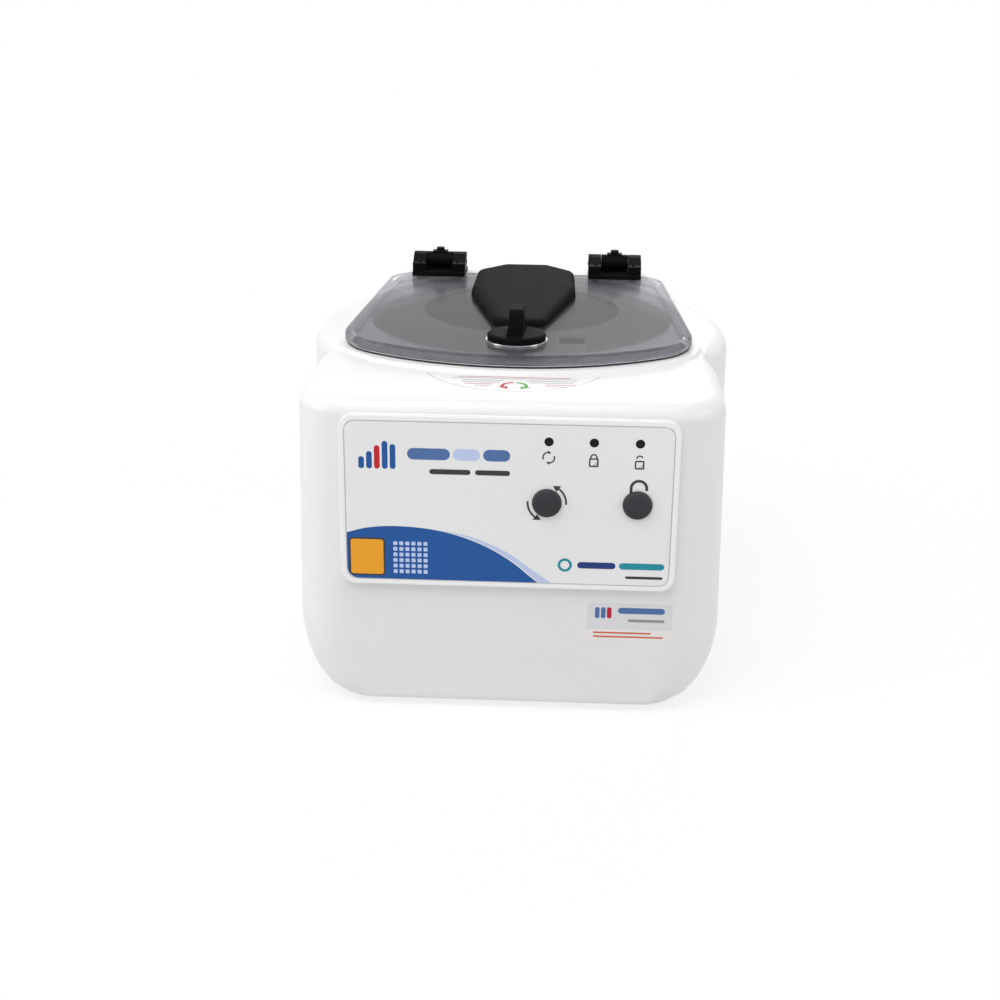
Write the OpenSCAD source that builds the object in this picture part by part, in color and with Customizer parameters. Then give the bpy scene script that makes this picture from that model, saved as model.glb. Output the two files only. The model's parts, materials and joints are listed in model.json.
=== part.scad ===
// Small bench centrifuge with a drum-shaped body, hinged frosted lid and six swing-out tube holders.
// Millimetres, +Z up, the front faces -Y, origin on the table under the middle of the body.

/* [Cabinet] */
// height of the flat top above the table
top_z = 214; // [200:1:235]
// radius of the round drum that holds the spin chamber
drum_r = 152.5; // [149:0.5:158]
// distance from the origin back to the spin axis
axis_y = 29.5; // [27:0.5:32]
// half width of the front box at its top
front_half = 138; // [135:0.5:142]
// how much the front box widens on each side towards the bottom
front_draft = 3; // [0:0.5:5]
// distance from the origin forward to the front wall
front_y = 174.5; // [172:0.5:182]
// half width of the squared rear of the body
rear_half = 122; // [118:0.5:126]
// plan radius of the front corners
corner_r = 36; // [28:0.5:42]
// wall thickness of the moulding
wall = 4; // [3:0.25:4.5]
// radius of the edge round the top
edge_r = 12; // [9:0.5:13]
// half width of the flat bottom
bottom_half = 113; // [108:1:120]
// height of the rounding at the lower sides
tuck_h = 55; // [40:1:65]
// height of the feet
foot_h = 4; // [3:0.5:8]
// thickness of the metal base plate
base_t = 2.5; // [1.5:0.25:4]

/* [Lid] */
// height of the raised seat above the flat top
seat_h = 3; // [2:0.25:5]
// how far the seat stands out round the lid
seat_lip = 6; // [4:0.5:8]
// height of the dark seal under the lid rim
seal_h = 1.9; // [1.5:0.1:3]
// overall height of the lid
lid_h = 7; // [6:0.25:10]
// thickness of the lid's top skin
lid_t = 3.5; // [2.5:0.25:4]
// half width of the lid at its widest
lid_half = 122; // [120:0.5:124]
// radius of the thicker disc in the middle of the lid
lid_disc_r = 72; // [60:1:80]
// width of the domed cover at its widest
cover_w = 80; // [70:1:84]
// height of the domed cover at its front
cover_h = 6; // [4:0.5:9]
// extra height of the domed cover at its rear
cover_rise = 5; // [2:0.5:8]

/* [Latch] */
// radius of the knob disc
knob_r = 20.2; // [16:0.2:22]
// thickness of the knob disc
knob_t = 4.7; // [3.5:0.1:7]
// width of the knob fin
fin_w = 10; // [7:0.5:13]
// height of the fin above the disc
fin_h = 18; // [12:1:24]
// radius of the latch shaft
latch_r = 5; // [4:0.25:6]
// reach of the latch cam from its shaft
cam_reach = 25; // [22:0.5:27]
// thickness of the latch cam
cam_t = 4; // [3:0.25:6]
// radius of the lock bolt
bolt_r = 3; // [2.5:0.25:4]

/* [Hinges] */
// distance of each hinge from the middle
hinge_x = 71; // [66:1:74]
// width of each hinge
hinge_w = 42.5; // [36:0.5:46]
// outer radius of the hinge knuckles
knuckle_r = 6.5; // [5.5:0.25:7]
// radius of the hinge pin
pin_r = 2.5; // [2:0.25:3]

/* [Control panel] */
// width of the raised panel
panel_w = 216; // [200:1:224]
// height of the raised panel
panel_h = 115.6; // [110:0.2:118]
// how far the panel stands off the front wall
panel_t = 4; // [3:0.25:6]
// height of the panel's lower edge above the table
panel_z = 89.7; // [88:0.1:92]
// corner radius of the panel
panel_r = 10; // [6:0.5:14]
// width of the plain rim round the printed skin
rim_w = 3.8; // [3:0.1:6]
// radius of the push buttons
button_r = 9.3; // [7:0.1:11]
// how far the buttons stand off the skin
button_out = 4; // [3:0.25:6]
// travel of the push buttons
button_travel = 1.5; // [1:0.1:2]
// distance from the middle to the start button
start_x = 24.6; // [20:0.2:30]
// distance from the middle to the unlock button
unlock_x = 82; // [76:0.2:86]
// height of both buttons above the table
button_z = 149.2; // [145:0.2:153]
// radius of the indicator windows
led_r = 2.9; // [2:0.1:4]
// height of the indicator windows above the table
led_z = 190; // [186:0.5:192]

/* [Chamber] */
// radius of the opening in the top
mouth_r = 111; // [108:0.5:112]
// inner radius of the spin chamber bowl
bowl_r = 128; // [126:0.5:129]
// height of the bowl floor above the table
bowl_floor = 90; // [86:0.5:92]
// sheet thickness of the bowl
bowl_t = 2; // [1.5:0.25:3]
// radius between the floor and the wall of the bowl
bowl_round = 20; // [12:1:24]
// width of the flange round the top of the bowl
flange_w = 6; // [4:0.5:8]

/* [Drive and rotor] */
// radius of the motor
motor_r = 40; // [34:1:46]
// height of the motor body
motor_h = 51; // [40:1:53]
// radius of the rotor shaft
shaft_r = 4; // [3:0.25:5]
// height of the tube holder pivots above the table
pivot_z = 165; // [163:0.5:168]
// distance of the tube holder pivots from the spin axis
pivot_r = 50; // [48:0.5:52]
// outer radius of the rotor
rotor_r = 64; // [60:0.5:68]
// thickness of the rotor plate
rotor_t = 10; // [8:0.5:12]
// bore radius of the tube holders
tube_r = 8.6; // [7:0.1:8.8]
// length of the tube holders below their pivots
holder_down = 66; // [55:0.5:67]
// radius of the tube holder trunnions
trunnion_r = 2.5; // [2:0.1:3]

/* [Hidden] */
$fn = 64;
fit = 0.05;
rear_y = axis_y + drum_r;
seat_z = top_z + seat_h;
rim_z = seat_z + seal_h + 0.1;
lid_z = rim_z + lid_h;
skin_z = lid_z - lid_t;
ceiling_z = top_z - wall;
pin_y = 155.5;
pin_z = lid_z + 9.5;
lid_rear = pin_y - 3;
latch_y = axis_y - mouth_r + 15;
panel_y = front_y + panel_t;
base_z = foot_h + base_t;
bowl_out = bowl_r + bowl_t;
pan_z = bowl_floor + bowl_round;
motor_z = base_z + 18.5;
plate_z = motor_z - 3;
boss_z = motor_z + motor_h + 6;
slot_half = 13;
slot_in = pivot_r - 17;
collar_r = 11.6;
board_y = panel_y - 17.5;
tongue_x = 38;
tongue_y = axis_y - mouth_r + 14.5;
bolt_z = top_z - 13;
step = 0.01;

// Outline tools

function arc(c, r, a0, a1, n) =
  [for (i = [0:n]) [c.x + r * cos(a0 + (a1 - a0) * i / n), c.y + r * sin(a0 + (a1 - a0) * i / n)]];

// angle of the outward normal on the common tangent of circles a and b, each [x, y, radius, steps]
function turn(a, b) =
  let (d = [b.x - a.x, b.y - a.y])
  atan2(d.y, d.x) - acos(max(-1, min(1, (a[2] - b[2]) / norm(d))));

// true where circle b touches circle a from inside or outside, so that their arcs share a point
function touches(a, b) = abs(norm([b.x - a.x, b.y - a.y]) - abs(a[2] - b[2])) < step;

function ahead(a0, a1) = a1 < a0 - step ? ahead(a0, a1 + 360) : a1;

// closed outline that wraps a list of circles, drawn in by inset
function wrap(cs, inset) = [
  for (i = [0:len(cs) - 1])
    let (
      c = cs[i],
      n = len(cs),
      before = cs[(i + n - 1) % n],
      after = cs[(i + 1) % n],
      t0 = turn(before, c),
      t1 = ahead(t0, turn(c, after)),
      part = (t1 - t0) / c[3] / 2,
      a0 = touches(before, c) ? t0 + part : t0,
      a1 = touches(c, after) ? t1 - part : t1
    )
    each arc(c, c[2] - inset, a0, a1, c[3])
];

function lift(outline, z) = [for (p = outline) [p.x, p.y, z]];

function mirrored(half) = concat(half, [for (i = [len(half) - 1:-1:0]) [-half[i].x, half[i].y]]);

// closed skin over rings that all have the same number of points
module loft(rings) {
  n = len(rings[0]);
  m = len(rings);
  sides = [
    for (j = [0:m - 2])
      for (i = [0:n - 1])
        let (a = j * n + i, b = j * n + (i + 1) % n, c = (j + 1) * n + (i + 1) % n, d = (j + 1) * n + i)
        each [[a, d, c], [a, c, b]]
  ];
  first = [for (i = [0:n - 1]) i];
  last = [for (i = [n - 1:-1:0]) (m - 1) * n + i];
  polyhedron([for (r = rings) each r], concat(sides, [first, last]));
}

// Cabinet

rear_r = 30;
side_r = 45;
side_y = -73.5;
notch_r = 14;
waist_r = 26;

// half outline of the body, from the middle of the front to the middle of the rear
function body_half(half, inset) =
  let (
    shoulder = [half - side_r, side_y],
    hub = [0, axis_y],
    a = side_r + notch_r,
    b = drum_r + notch_r,
    d = norm(shoulder - hub),
    bear = atan2(shoulder.y - hub.y, shoulder.x - hub.x),
    open = acos((b * b + d * d - a * a) / (2 * b * d)),
    notch = hub + b * [cos(bear + open), sin(bear + open)],
    to_shoulder = atan2(shoulder.y - notch.y, shoulder.x - notch.x) + 360,
    waist_y = axis_y + sqrt(pow(drum_r + waist_r, 2) - pow(rear_half + waist_r, 2)),
    rise = atan2(waist_y - axis_y, rear_half + waist_r)
  )
  concat(
    [for (t = [0.1:0.2:0.9]) [t * (half - corner_r), inset - front_y]],
    arc([half - corner_r, corner_r - front_y], corner_r - inset, -90, 0, 7),
    arc(shoulder, side_r - inset, 0, to_shoulder - 184, 4),
    arc(notch, notch_r + inset, to_shoulder, 180 + bear + open, 3),
    arc(hub, drum_r - inset, bear + open + 1, rise - 1, 9),
    arc([rear_half + waist_r, waist_y], waist_r + inset, 180 + rise, 180, 3),
    arc([rear_half - rear_r, rear_y - rear_r], rear_r - inset, 0, 90, 6),
    [for (t = [0.75, 0.25]) [t * (rear_half - rear_r), rear_y - inset]]
  );

tuck_z = foot_h + tuck_h;
full_half = front_half + front_draft;

function half_at(z) = front_half + front_draft * min(1, (top_z - z) / (top_z - tuck_z));

// width factor of the tucked-in lower sides
function tuck(z) =
  z >= tuck_z ? 1
  : (bottom_half + (full_half - bottom_half) * sqrt(1 - pow((tuck_z - z) / tuck_h, 2))) / full_half;

function body_ring(z, inset) =
  [for (p = mirrored(body_half(half_at(z), inset))) [p.x * tuck(z), p.y, z]];

lid_front_r = 178;
lid_corner_r = 50;
lid_rear_r = 25;
lid_front_y = -108.5;

// circles that the lid outline wraps, front first
lid_circles =
  let (
    big = lid_front_r - lid_corner_r,
    cx = lid_half - lid_corner_r,
    cy = lid_front_y + lid_front_r - sqrt(big * big - cx * cx)
  )
  [
    [0, lid_front_y + lid_front_r, lid_front_r, 14],
    [cx, cy, lid_corner_r, 9],
    [lid_half - 36.5, lid_rear - lid_rear_r, lid_rear_r, 7],
    [36.5 - lid_half, lid_rear - lid_rear_r, lid_rear_r, 7],
    [-cx, cy, lid_corner_r, 9]
  ];

hub = [0, axis_y];

// distance from the spin axis to an outline, along direction d
function reach(outline, d) = [
  for (i = [0:len(outline) - 1])
    let (p = outline[i] - hub, q = outline[(i + 1) % len(outline)] - hub)
    if (cross(p, d) >= 0 && cross(d, q) > 0) cross(p, q - p) / cross(d, q - p)
][0];

top_outline = mirrored(body_half(front_half, 0));
top_inner = mirrored(body_half(front_half, edge_r));
rays = [for (p = top_outline) (p - hub) / norm(p - hub)];

// ring that follows the lid outline at one height, a given distance outside it
function seat_ring(z, out) =
  let (o = wrap(lid_circles, -out))
  [for (d = rays) let (p = hub + reach(o, d) * d) [p.x, p.y, z]];

function mouth_ring(z, r) = [for (d = rays) [hub.x + r * d.x, hub.y + r * d.y, z]];

// share of the edge radius that fits between the outer wall and the lid seat
edge_share =
  let (o = wrap(lid_circles, -seat_lip - 1.2))
  [for (i = [0:len(rays) - 1])
    min(1, (norm(top_outline[i] - hub) - reach(o, rays[i]) - 0.8) / edge_r)];

function edge_ring(a) = [
  for (i = [0:len(rays) - 1])
    let (p = top_outline[i] + (top_inner[i] - top_outline[i]) * edge_share[i] * (1 - cos(a)))
    [p.x, p.y, top_z - edge_r * (1 - sin(a))]
];

plateau_x = 90;
plateau_y = 163.3;
plateau_z = lid_z - 2;

module plateau() {
  c = [for (s = [[1, -1], [1, 1], [-1, 1], [-1, -1]]) [s.x * plateau_x, plateau_y + s.y * 0.2, 8.4, 4]];
  loft([
    lift(wrap(c, 0), top_z - 2),
    lift(wrap(c, 0), plateau_z - 1),
    lift(wrap(c, 1), plateau_z)
  ]);
}

// closed skin over a loop of rings, from the last back to the first
module ring_loop(rings) {
  n = len(rings[0]);
  m = len(rings);
  polyhedron(
    [for (r = rings) each r],
    [
      for (j = [0:m - 1])
        for (i = [0:n - 1])
          let (a = j * n + i, b = j * n + (i + 1) % n, k = (j + 1) % m)
          each [[a, k * n + i, k * n + (i + 1) % n], [a, k * n + (i + 1) % n, b]]
    ]
  );
}

module body_shell() {
  mouth = mouth_r - 2;
  ring_loop(concat(
    [mouth_ring(ceiling_z, mouth), body_ring(ceiling_z, wall + 8)],
    [for (a = [67.5, 45, 22.5, 0]) body_ring(ceiling_z - 8 * (1 - sin(a)), wall + 8 * (1 - cos(a)))],
    [for (t = [1, 0.6, 0.3, 0.12]) body_ring(foot_h + tuck_h * t, wall)],
    [body_ring(foot_h, wall)],
    [body_ring(foot_h + 1.4, 1), body_ring(foot_h + 5, 0)],
    [for (t = [0.22, 0.36, 0.55, 0.78, 1]) body_ring(foot_h + tuck_h * t, 0)],
    [for (a = [0:22.5:90]) edge_ring(a)],
    [seat_ring(top_z + 0.2, seat_lip + 1.2), seat_ring(seat_z - 0.8, seat_lip)],
    [seat_ring(seat_z, seat_lip - 0.8), mouth_ring(seat_z, mouth)]
  ));
}

vent_rows = 5;

module cabinet() {
  color([0.93, 0.93, 0.92])
    difference() {
      union() {
        body_shell();
        plateau();
      }
      translate([0, axis_y, ceiling_z - 5])
        cylinder(h = seat_h + wall + 10, r = mouth_r, $fn = 128);
      // opening behind the panel
      translate([-4, -front_y - 1, button_z - 19])
        cube([106, wall + 2, 66]);
      // mains inlet in the rear wall
      translate([inlet_x - 14.2, rear_y - wall - 1, inlet_z - 10.7])
        cube([28.4, wall + 2, 21.4]);
      translate([inlet_x - 25.2, rear_y - 2.2, inlet_z - 13.2])
        cube([50.4, 4, 26.4]);
      for (s = [-1, 1])
        translate([inlet_x + s * 20, rear_y - wall - 1, inlet_z])
          rotate([-90, 0, 0])
            cylinder(h = wall + 2, r = 1.8, $fn = 24);
      // cooling slots in the rear wall
      for (i = [0:vent_rows - 1])
        translate([22, rear_y - wall - 1, 100 + i * 9])
          cube([48, wall + 2, 3.2]);
      for (s = [-1, 1])
        for (k = [-1, 1])
          translate([s * hinge_x + k * base_screw_x, base_screw_y, plateau_z - 9])
            cylinder(h = 12, r = 1.8, $fn = 24);
    }
}

module plate_outline(inset) {
  polygon([for (p = body_ring(foot_h, inset)) [p.x, p.y]]);
}

feet_xy = [[88, -128], [72, 138], [-72, 138], [-88, -128]];

module base_plate() {
  color([0.72, 0.73, 0.74])
    difference() {
      translate([0, 0, foot_h])
        linear_extrude(base_t)
          plate_outline(wall + 1.7);
      for (p = feet_xy)
        translate([p.x, p.y, foot_h - 1])
          cylinder(h = base_t + 2, r = 2.2, $fn = 24);
      // cooling slots under the motor
      for (i = [-4:4])
        translate([-30, axis_y - 1.5 + i * 9, foot_h - 1])
          cube([60, 3, base_t + 2]);
    }
}

module feet() {
  color([0.12, 0.12, 0.12])
    for (p = feet_xy)
      translate([p.x, p.y, 0])
        rotate_extrude()
          polygon([[0, 0], [9.5, 0], [10.5, 1], [11, foot_h], [2.15, foot_h], [2.15, foot_h + 1], [0, foot_h + 1]]);
}

module base_screws() {
  color([0.6, 0.6, 0.62])
    for (p = feet_xy)
      translate([p.x, p.y, 0])
        rotate_extrude($fn = 32)
          polygon([[0, foot_h + 1], [2.15, foot_h + 1], [2.15, base_z], [4.5, base_z], [4.5, base_z + 3], [0, base_z + 3]]);
}

// Control panel

panel_mid = panel_z + panel_h / 2;

module on_front(y) {
  translate([0, -y, 0])
    rotate([90, 0, 0])
      children();
}

module round_rect(w, h, r) {
  c = [for (s = [[1, -1], [1, 1], [-1, 1], [-1, -1]]) [s.x * (w / 2 - r), s.y * (h / 2 - r), r, 8]];
  polygon(wrap(c, 0));
}

skin_t = 0.6;
led_x = [start_x + 0.6, (start_x + unlock_x) / 2 + 0.2, unlock_x + 0.2];

module panel_holes(margin) {
  for (x = [start_x, unlock_x])
    translate([x, button_z])
      circle(r = button_r + margin);
  for (x = led_x)
    translate([x, led_z])
      circle(r = led_r + margin / 4, $fn = 32);
}

module panel_bezel() {
  color([0.95, 0.95, 0.94]) {
    difference() {
      union() {
        on_front(front_y)
          linear_extrude(panel_t - 1)
            translate([0, panel_mid])
              round_rect(panel_w, panel_h, panel_r);
        on_front(front_y + panel_t - 1)
          linear_extrude(1)
            translate([0, panel_mid])
              round_rect(panel_w - 1.6, panel_h - 1.6, panel_r - 0.8);
      }
      on_front(panel_y - skin_t)
        linear_extrude(skin_t + 1)
          translate([0, panel_mid])
            round_rect(panel_w - 2 * rim_w, panel_h - 2 * rim_w, panel_r - rim_w / 2);
      on_front(front_y - 1)
        linear_extrude(panel_t + 2)
          panel_holes(0.2);
    }
    // posts that carry the circuit board
    for (x = board_x)
      for (z = board_z)
        translate([x, -front_y, z])
          rotate([-90, 0, 0])
            cylinder(h = front_y - board_y, r = 3, $fn = 24);
  }
}

module panel_skin() {
  color([0.90, 0.90, 0.90])
    difference() {
      on_front(panel_y - skin_t)
        linear_extrude(skin_t)
          translate([0, panel_mid])
            round_rect(panel_w - 2 * rim_w - 0.3, panel_h - 2 * rim_w - 0.3, panel_r - rim_w / 2 - 0.15);
      on_front(panel_y - skin_t - 1)
        linear_extrude(skin_t + 2)
          panel_holes(0.2);
    }
}

module indicator_windows() {
  color([0.12, 0.12, 0.13])
    for (x = led_x)
      translate([x, 0, led_z])
        on_front(board_y + 2.2)
          cylinder(h = panel_y - board_y - 2.1, r = led_r, $fn = 32);
}

module button(x) {
  flange = 1.4;
  color([0.27, 0.28, 0.29])
    translate([x, 0, button_z])
      on_front(0)
        rotate_extrude()
          polygon(concat(
            [[0, board_y + 4.6 + button_travel], [3, board_y + 4.6 + button_travel], [3, front_y - flange - 0.1]],
            [[button_r + 1.6, front_y - flange - 0.1], [button_r + 1.6, front_y - 0.1], [button_r, front_y - 0.1]],
            [for (a = [0:15:90]) [button_r * cos(a * 0.9) + 0.0, panel_y + 1 + (button_out - 1) * sin(a)]],
            [[0, panel_y + button_out]]
          ));
}

module start_button() {
  button(start_x);
}

module unlock_button() {
  button(unlock_x);
}

board_x = [2, 98];
board_z = [button_z - 13, button_z + 43];

module circuit_board() {
  color([0.10, 0.35, 0.20]) {
    translate([-3, -board_y, button_z - 18])
      cube([106, 1.6, 66]);
    // push switches under the buttons
    for (x = [start_x, unlock_x]) {
      translate([x - 3, -board_y - 3, button_z - 3])
        cube([6, 3, 6]);
      translate([x, -board_y - 3, button_z])
        rotate([90, 0, 0])
          cylinder(h = 1.5, r = 1.7, $fn = 24);
    }
    // light sources behind the windows
    for (x = led_x)
      translate([x, -board_y, led_z])
        rotate([90, 0, 0])
          cylinder(h = 2.1, r = 2.4, $fn = 24);
    // connector and controller on the rear side
    translate([10, 1.6 - board_y, button_z - 14])
      cube([24, 6, 9]);
    translate([48, 1.6 - board_y, button_z])
      cube([14, 2, 14]);
  }
}

// Lid

module seat_seal() {
  color([0.06, 0.06, 0.06])
    translate([0, 0, seat_z])
      linear_extrude(seal_h)
        difference() {
          polygon(wrap(lid_circles, 1.5));
          polygon(wrap(lid_circles, 6.2));
        }
}

module lid() {
  edge = [for (a = [0:22.5:90]) [lid_z - 3 * (1 - sin(a)), 3 * (1 - cos(a))]];
  color([0.42, 0.43, 0.45])
    difference() {
      union() {
        loft(concat(
          [lift(wrap(lid_circles, 6), skin_z), lift(wrap(lid_circles, 5), rim_z)],
          [lift(wrap(lid_circles, 0.6), rim_z), lift(wrap(lid_circles, 0), rim_z + 0.7)],
          [for (p = edge) lift(wrap(lid_circles, p.y), p.x)]
        ));
        translate([0, axis_y, skin_z - 2])
          cylinder(h = 3, r = lid_disc_r, $fn = 96);
      }
      translate([0, latch_y, rim_z])
        cylinder(h = lid_h + 1, r = latch_r + fit, $fn = 48);
      for (s = [-1, 1])
        for (k = [-1, 1])
          translate([s * hinge_x + k * leaf_screw_x, leaf_screw_y, skin_z - 1])
            cylinder(h = lid_t + 2, r = 1.6, $fn = 24);
    }
}

cover_front = latch_y + 34;
cover_circles = [
  [8, cover_front + 12, 12, 5],
  [cover_w / 2 - 12, latch_y + 135, 12, 3],
  [cover_w / 2 - 11, latch_y + 185, 10, 5],
  [14, lid_rear - 19, 10, 5],
  [-14, lid_rear - 19, 10, 5],
  [11 - cover_w / 2, latch_y + 185, 10, 5],
  [12 - cover_w / 2, latch_y + 135, 12, 3],
  [-8, cover_front + 12, 12, 5]
];

function cover_ring(inset, t) =
  [for (p = wrap(cover_circles, inset))
    [p.x, p.y, lid_z + t * (cover_h + cover_rise * (p.y - cover_front) / (lid_rear - cover_front))]];

module lid_cover() {
  color([0.08, 0.08, 0.08])
    loft([
      cover_ring(0, 0),
      cover_ring(0.3, 0.45),
      cover_ring(1.2, 0.7),
      cover_ring(3, 0.86),
      cover_ring(5.5, 0.95),
      cover_ring(9, 1)
    ]);
}

// Latch

ring_t = 1.2;
disc_z = lid_z + ring_t + 0.1;
cam_z = ceiling_z - 2;

module knob_ring() {
  color([0.85, 0.86, 0.88])
    translate([0, latch_y, lid_z])
      difference() {
        cylinder(h = ring_t, r = knob_r + 1, $fn = 96);
        translate([0, 0, -1])
          cylinder(h = ring_t + 2, r = latch_r + 1, $fn = 48);
      }
}

fin_len = 27;

module latch_knob() {
  color([0.08, 0.08, 0.08])
    translate([0, latch_y, disc_z])
      difference() {
        union() {
          rotate_extrude($fn = 96)
            polygon([
              [0, 0], [knob_r - 0.8, 0], [knob_r, 0.8], [knob_r, knob_t - 1.6], [knob_r - 1, knob_t - 0.6],
              [knob_r - 3, knob_t], [0, knob_t]
            ]);
          translate([-fin_w / 2, 0, knob_t - 0.2])
            rotate([90, 0, 90])
              linear_extrude(fin_w)
                polygon(concat(
                  [[-fin_len / 2, 0]],
                  [[fin_len / 2, 0]],
                  arc([fin_len / 2 - 10, fin_h - 9], 9, 20, 90, 5),
                  arc([5 - fin_len / 2, fin_h - 4], 4, 90, 180, 5)
                ));
        }
        translate([0, 0, -1])
          cylinder(h = knob_t + 1, r = latch_r + 0.02, $fn = 48);
      }
}

module latch_shaft() {
  color([0.65, 0.66, 0.68])
    translate([0, latch_y, 0]) {
      translate([0, 0, cam_z - cam_t - 1])
        cylinder(h = disc_z + knob_t - 1.1 - cam_z + cam_t, r = latch_r, $fn = 48);
      translate([0, 0, skin_z - 3.1])
        cylinder(h = 3, r = latch_r + 4, $fn = 48);
    }
}

module latch_cam() {
  color([0.55, 0.56, 0.58])
    translate([0, latch_y, cam_z - cam_t])
      difference() {
        linear_extrude(cam_t)
          polygon(wrap([[0, 0, 9, 12], [7 - cam_reach, 0, 7, 8]], 0));
        translate([0, 0, -1])
          cylinder(h = cam_t + 2, r = latch_r + 0.02, $fn = 48);
      }
}

strike_w = 32;

module strike_plate() {
  color([0.7, 0.71, 0.73])
    translate([-strike_w / 2, axis_y - bowl_r + 1.5, ceiling_z - 1.6])
      cube([strike_w, bowl_r - mouth_r - 4, 1.6]);
}

module lock_tongue() {
  color([0.65, 0.66, 0.68])
    difference() {
      union() {
        translate([tongue_x - 9, tongue_y, bolt_z - 8])
          cube([18, 3, skin_z - bolt_z + 8]);
        translate([tongue_x - 9, tongue_y, skin_z - 2])
          cube([18, 15, 2]);
      }
      translate([tongue_x - bolt_r - 2, tongue_y - 1, bolt_z - bolt_r - 1.5])
        cube([2 * bolt_r + 4, 5, 2 * bolt_r + 3]);
    }
}

bolt_tip = tongue_y - 2.5;
coil_y = axis_y - bowl_r - 14;

module lock_solenoid() {
  color([0.45, 0.46, 0.48])
    difference() {
      union() {
        translate([tongue_x - 11, coil_y - 34, bolt_z - 9])
          cube([22, 34, 18]);
        // flange that hangs from the top of the cabinet
        translate([tongue_x - 15, coil_y - 30, bolt_z + 7])
          cube([30, 26, ceiling_z - bolt_z - 7]);
      }
      translate([tongue_x, coil_y - 30, bolt_z])
        rotate([-90, 0, 0])
          cylinder(h = 40, r = bolt_r + fit, $fn = 32);
    }
}

module lock_bolt() {
  color([0.75, 0.76, 0.78])
    translate([tongue_x, coil_y - 18, bolt_z])
      rotate([-90, 0, 0]) {
        cylinder(h = bolt_tip - coil_y + 17, r = bolt_r, $fn = 32);
        translate([0, 0, bolt_tip - coil_y + 17])
          cylinder(h = 1, r1 = bolt_r, r2 = bolt_r - 0.8, $fn = 32);
      }
}

// Hinges

leaf_t = 3;
knuckle_w = hinge_w / 4;
leaf_screw_x = 15;
leaf_screw_y = lid_rear - 12;
base_screw_x = 14;
base_screw_y = pin_y + 9.5;

module along_x(x0, x1) {
  translate([x0, 0, 0])
    rotate([90, 0, 90])
      linear_extrude(x1 - x0)
        children();
}

module knuckle_profile() {
  translate([pin_y, pin_z])
    difference() {
      circle(r = knuckle_r);
      circle(r = pin_r + fit);
    }
}

module hinge_lid_leaves() {
  low = lid_z - pin_z;
  color([0.07, 0.07, 0.07])
    for (s = [-1, 1])
      translate([s * hinge_x, 0, 0])
        difference() {
          union() {
            // flat leaf on the lid
            translate([-hinge_w / 2, lid_rear - 19, lid_z])
              cube([hinge_w, 17.5, leaf_t]);
            for (k = [-1, 1])
              along_x(k > 0 ? knuckle_w + 0.3 : -hinge_w / 2, k > 0 ? hinge_w / 2 : -knuckle_w - 0.3) {
                knuckle_profile();
                // web from the leaf up to the knuckle
                translate([pin_y, pin_z])
                  difference() {
                    polygon([[-18, low + 0.4], [-4.5, low + 0.4], [-3, -5], [-3, 5.6], [-6, 5.6], [-13, 1], [-18, 0]]);
                    circle(r = pin_r + 1.5);
                  }
              }
          }
          for (k = [-1, 1])
            translate([k * leaf_screw_x, leaf_screw_y, lid_z - 1])
              cylinder(h = 14, r = 1.6, $fn = 24);
        }
}

module hinge_base_leaves() {
  low = plateau_z - pin_z;
  color([0.07, 0.07, 0.07])
    for (s = [-1, 1])
      translate([s * hinge_x, 0, 0])
        difference() {
          union() {
            translate([-hinge_w / 2, pin_y + 1.5, plateau_z])
              cube([hinge_w, 14, 2.6]);
            along_x(-knuckle_w, knuckle_w) {
              knuckle_profile();
              translate([pin_y, pin_z])
                difference() {
                  polygon([[2, low + 0.4], [13, low + 0.4], [9, -4], [6, 3], [2, 5.5]]);
                  circle(r = pin_r + 1.5);
                }
            }
            // tab with the clamp screw boss on top
            translate([-6, pin_y - 3, pin_z + knuckle_r - 1])
              cube([12, 7, 2]);
            translate([0, pin_y + 0.5, pin_z + knuckle_r])
              cylinder(h = 3.4, r = 3.2, $fn = 32);
          }
          for (k = [-1, 1])
            translate([k * base_screw_x, base_screw_y, plateau_z - 1])
              cylinder(h = 14, r = 1.8, $fn = 24);
        }
}

module hinge_pins() {
  color([0.5, 0.51, 0.52])
    for (s = [-1, 1])
      translate([s * hinge_x - hinge_w / 2 - 0.6, pin_y, pin_z])
        rotate([0, 90, 0])
          cylinder(h = hinge_w + 1.2, r = pin_r, $fn = 32);
}

module screw(len, shank, head) {
  translate([0, 0, -len])
    cylinder(h = len, r = shank, $fn = 24);
  cylinder(h = 1.2, r1 = head, r2 = head - 0.8, $fn = 24);
}

module lid_leaf_screws() {
  color([0.12, 0.12, 0.12])
    for (s = [-1, 1])
      for (k = [-1, 1])
        translate([s * hinge_x + k * leaf_screw_x, leaf_screw_y, lid_z - lid_t - 1.2]) {
          cylinder(h = lid_t + 8, r = 1.55, $fn = 24);
          translate([0, 0, -1])
            cylinder(h = 2.2, r = 3, $fn = 24);
        }
}

module base_leaf_screws() {
  color([0.12, 0.12, 0.12])
    for (s = [-1, 1])
      for (k = [-1, 1])
        translate([s * hinge_x + k * base_screw_x, base_screw_y, plateau_z + 2.6])
          screw(9, 1.75, 3);
}

// Spin chamber

module chamber_bowl() {
  color([0.55, 0.56, 0.58])
    difference() {
      translate([0, axis_y, 0])
        rotate_extrude($fn = 128)
          polygon([
            [bowl_out, pan_z], [bowl_out, ceiling_z - 4], [bowl_out + flange_w, ceiling_z - 4],
            [bowl_out + flange_w, ceiling_z - 2], [bowl_r, ceiling_z - 2], [bowl_r, pan_z]
          ]);
      // way for the lock bolt
      translate([tongue_x, axis_y - bowl_r - 12, bolt_z])
        rotate([-90, 0, 0])
          cylinder(h = 60, r = bolt_r + 1.5, $fn = 32);
    }
}

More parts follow.
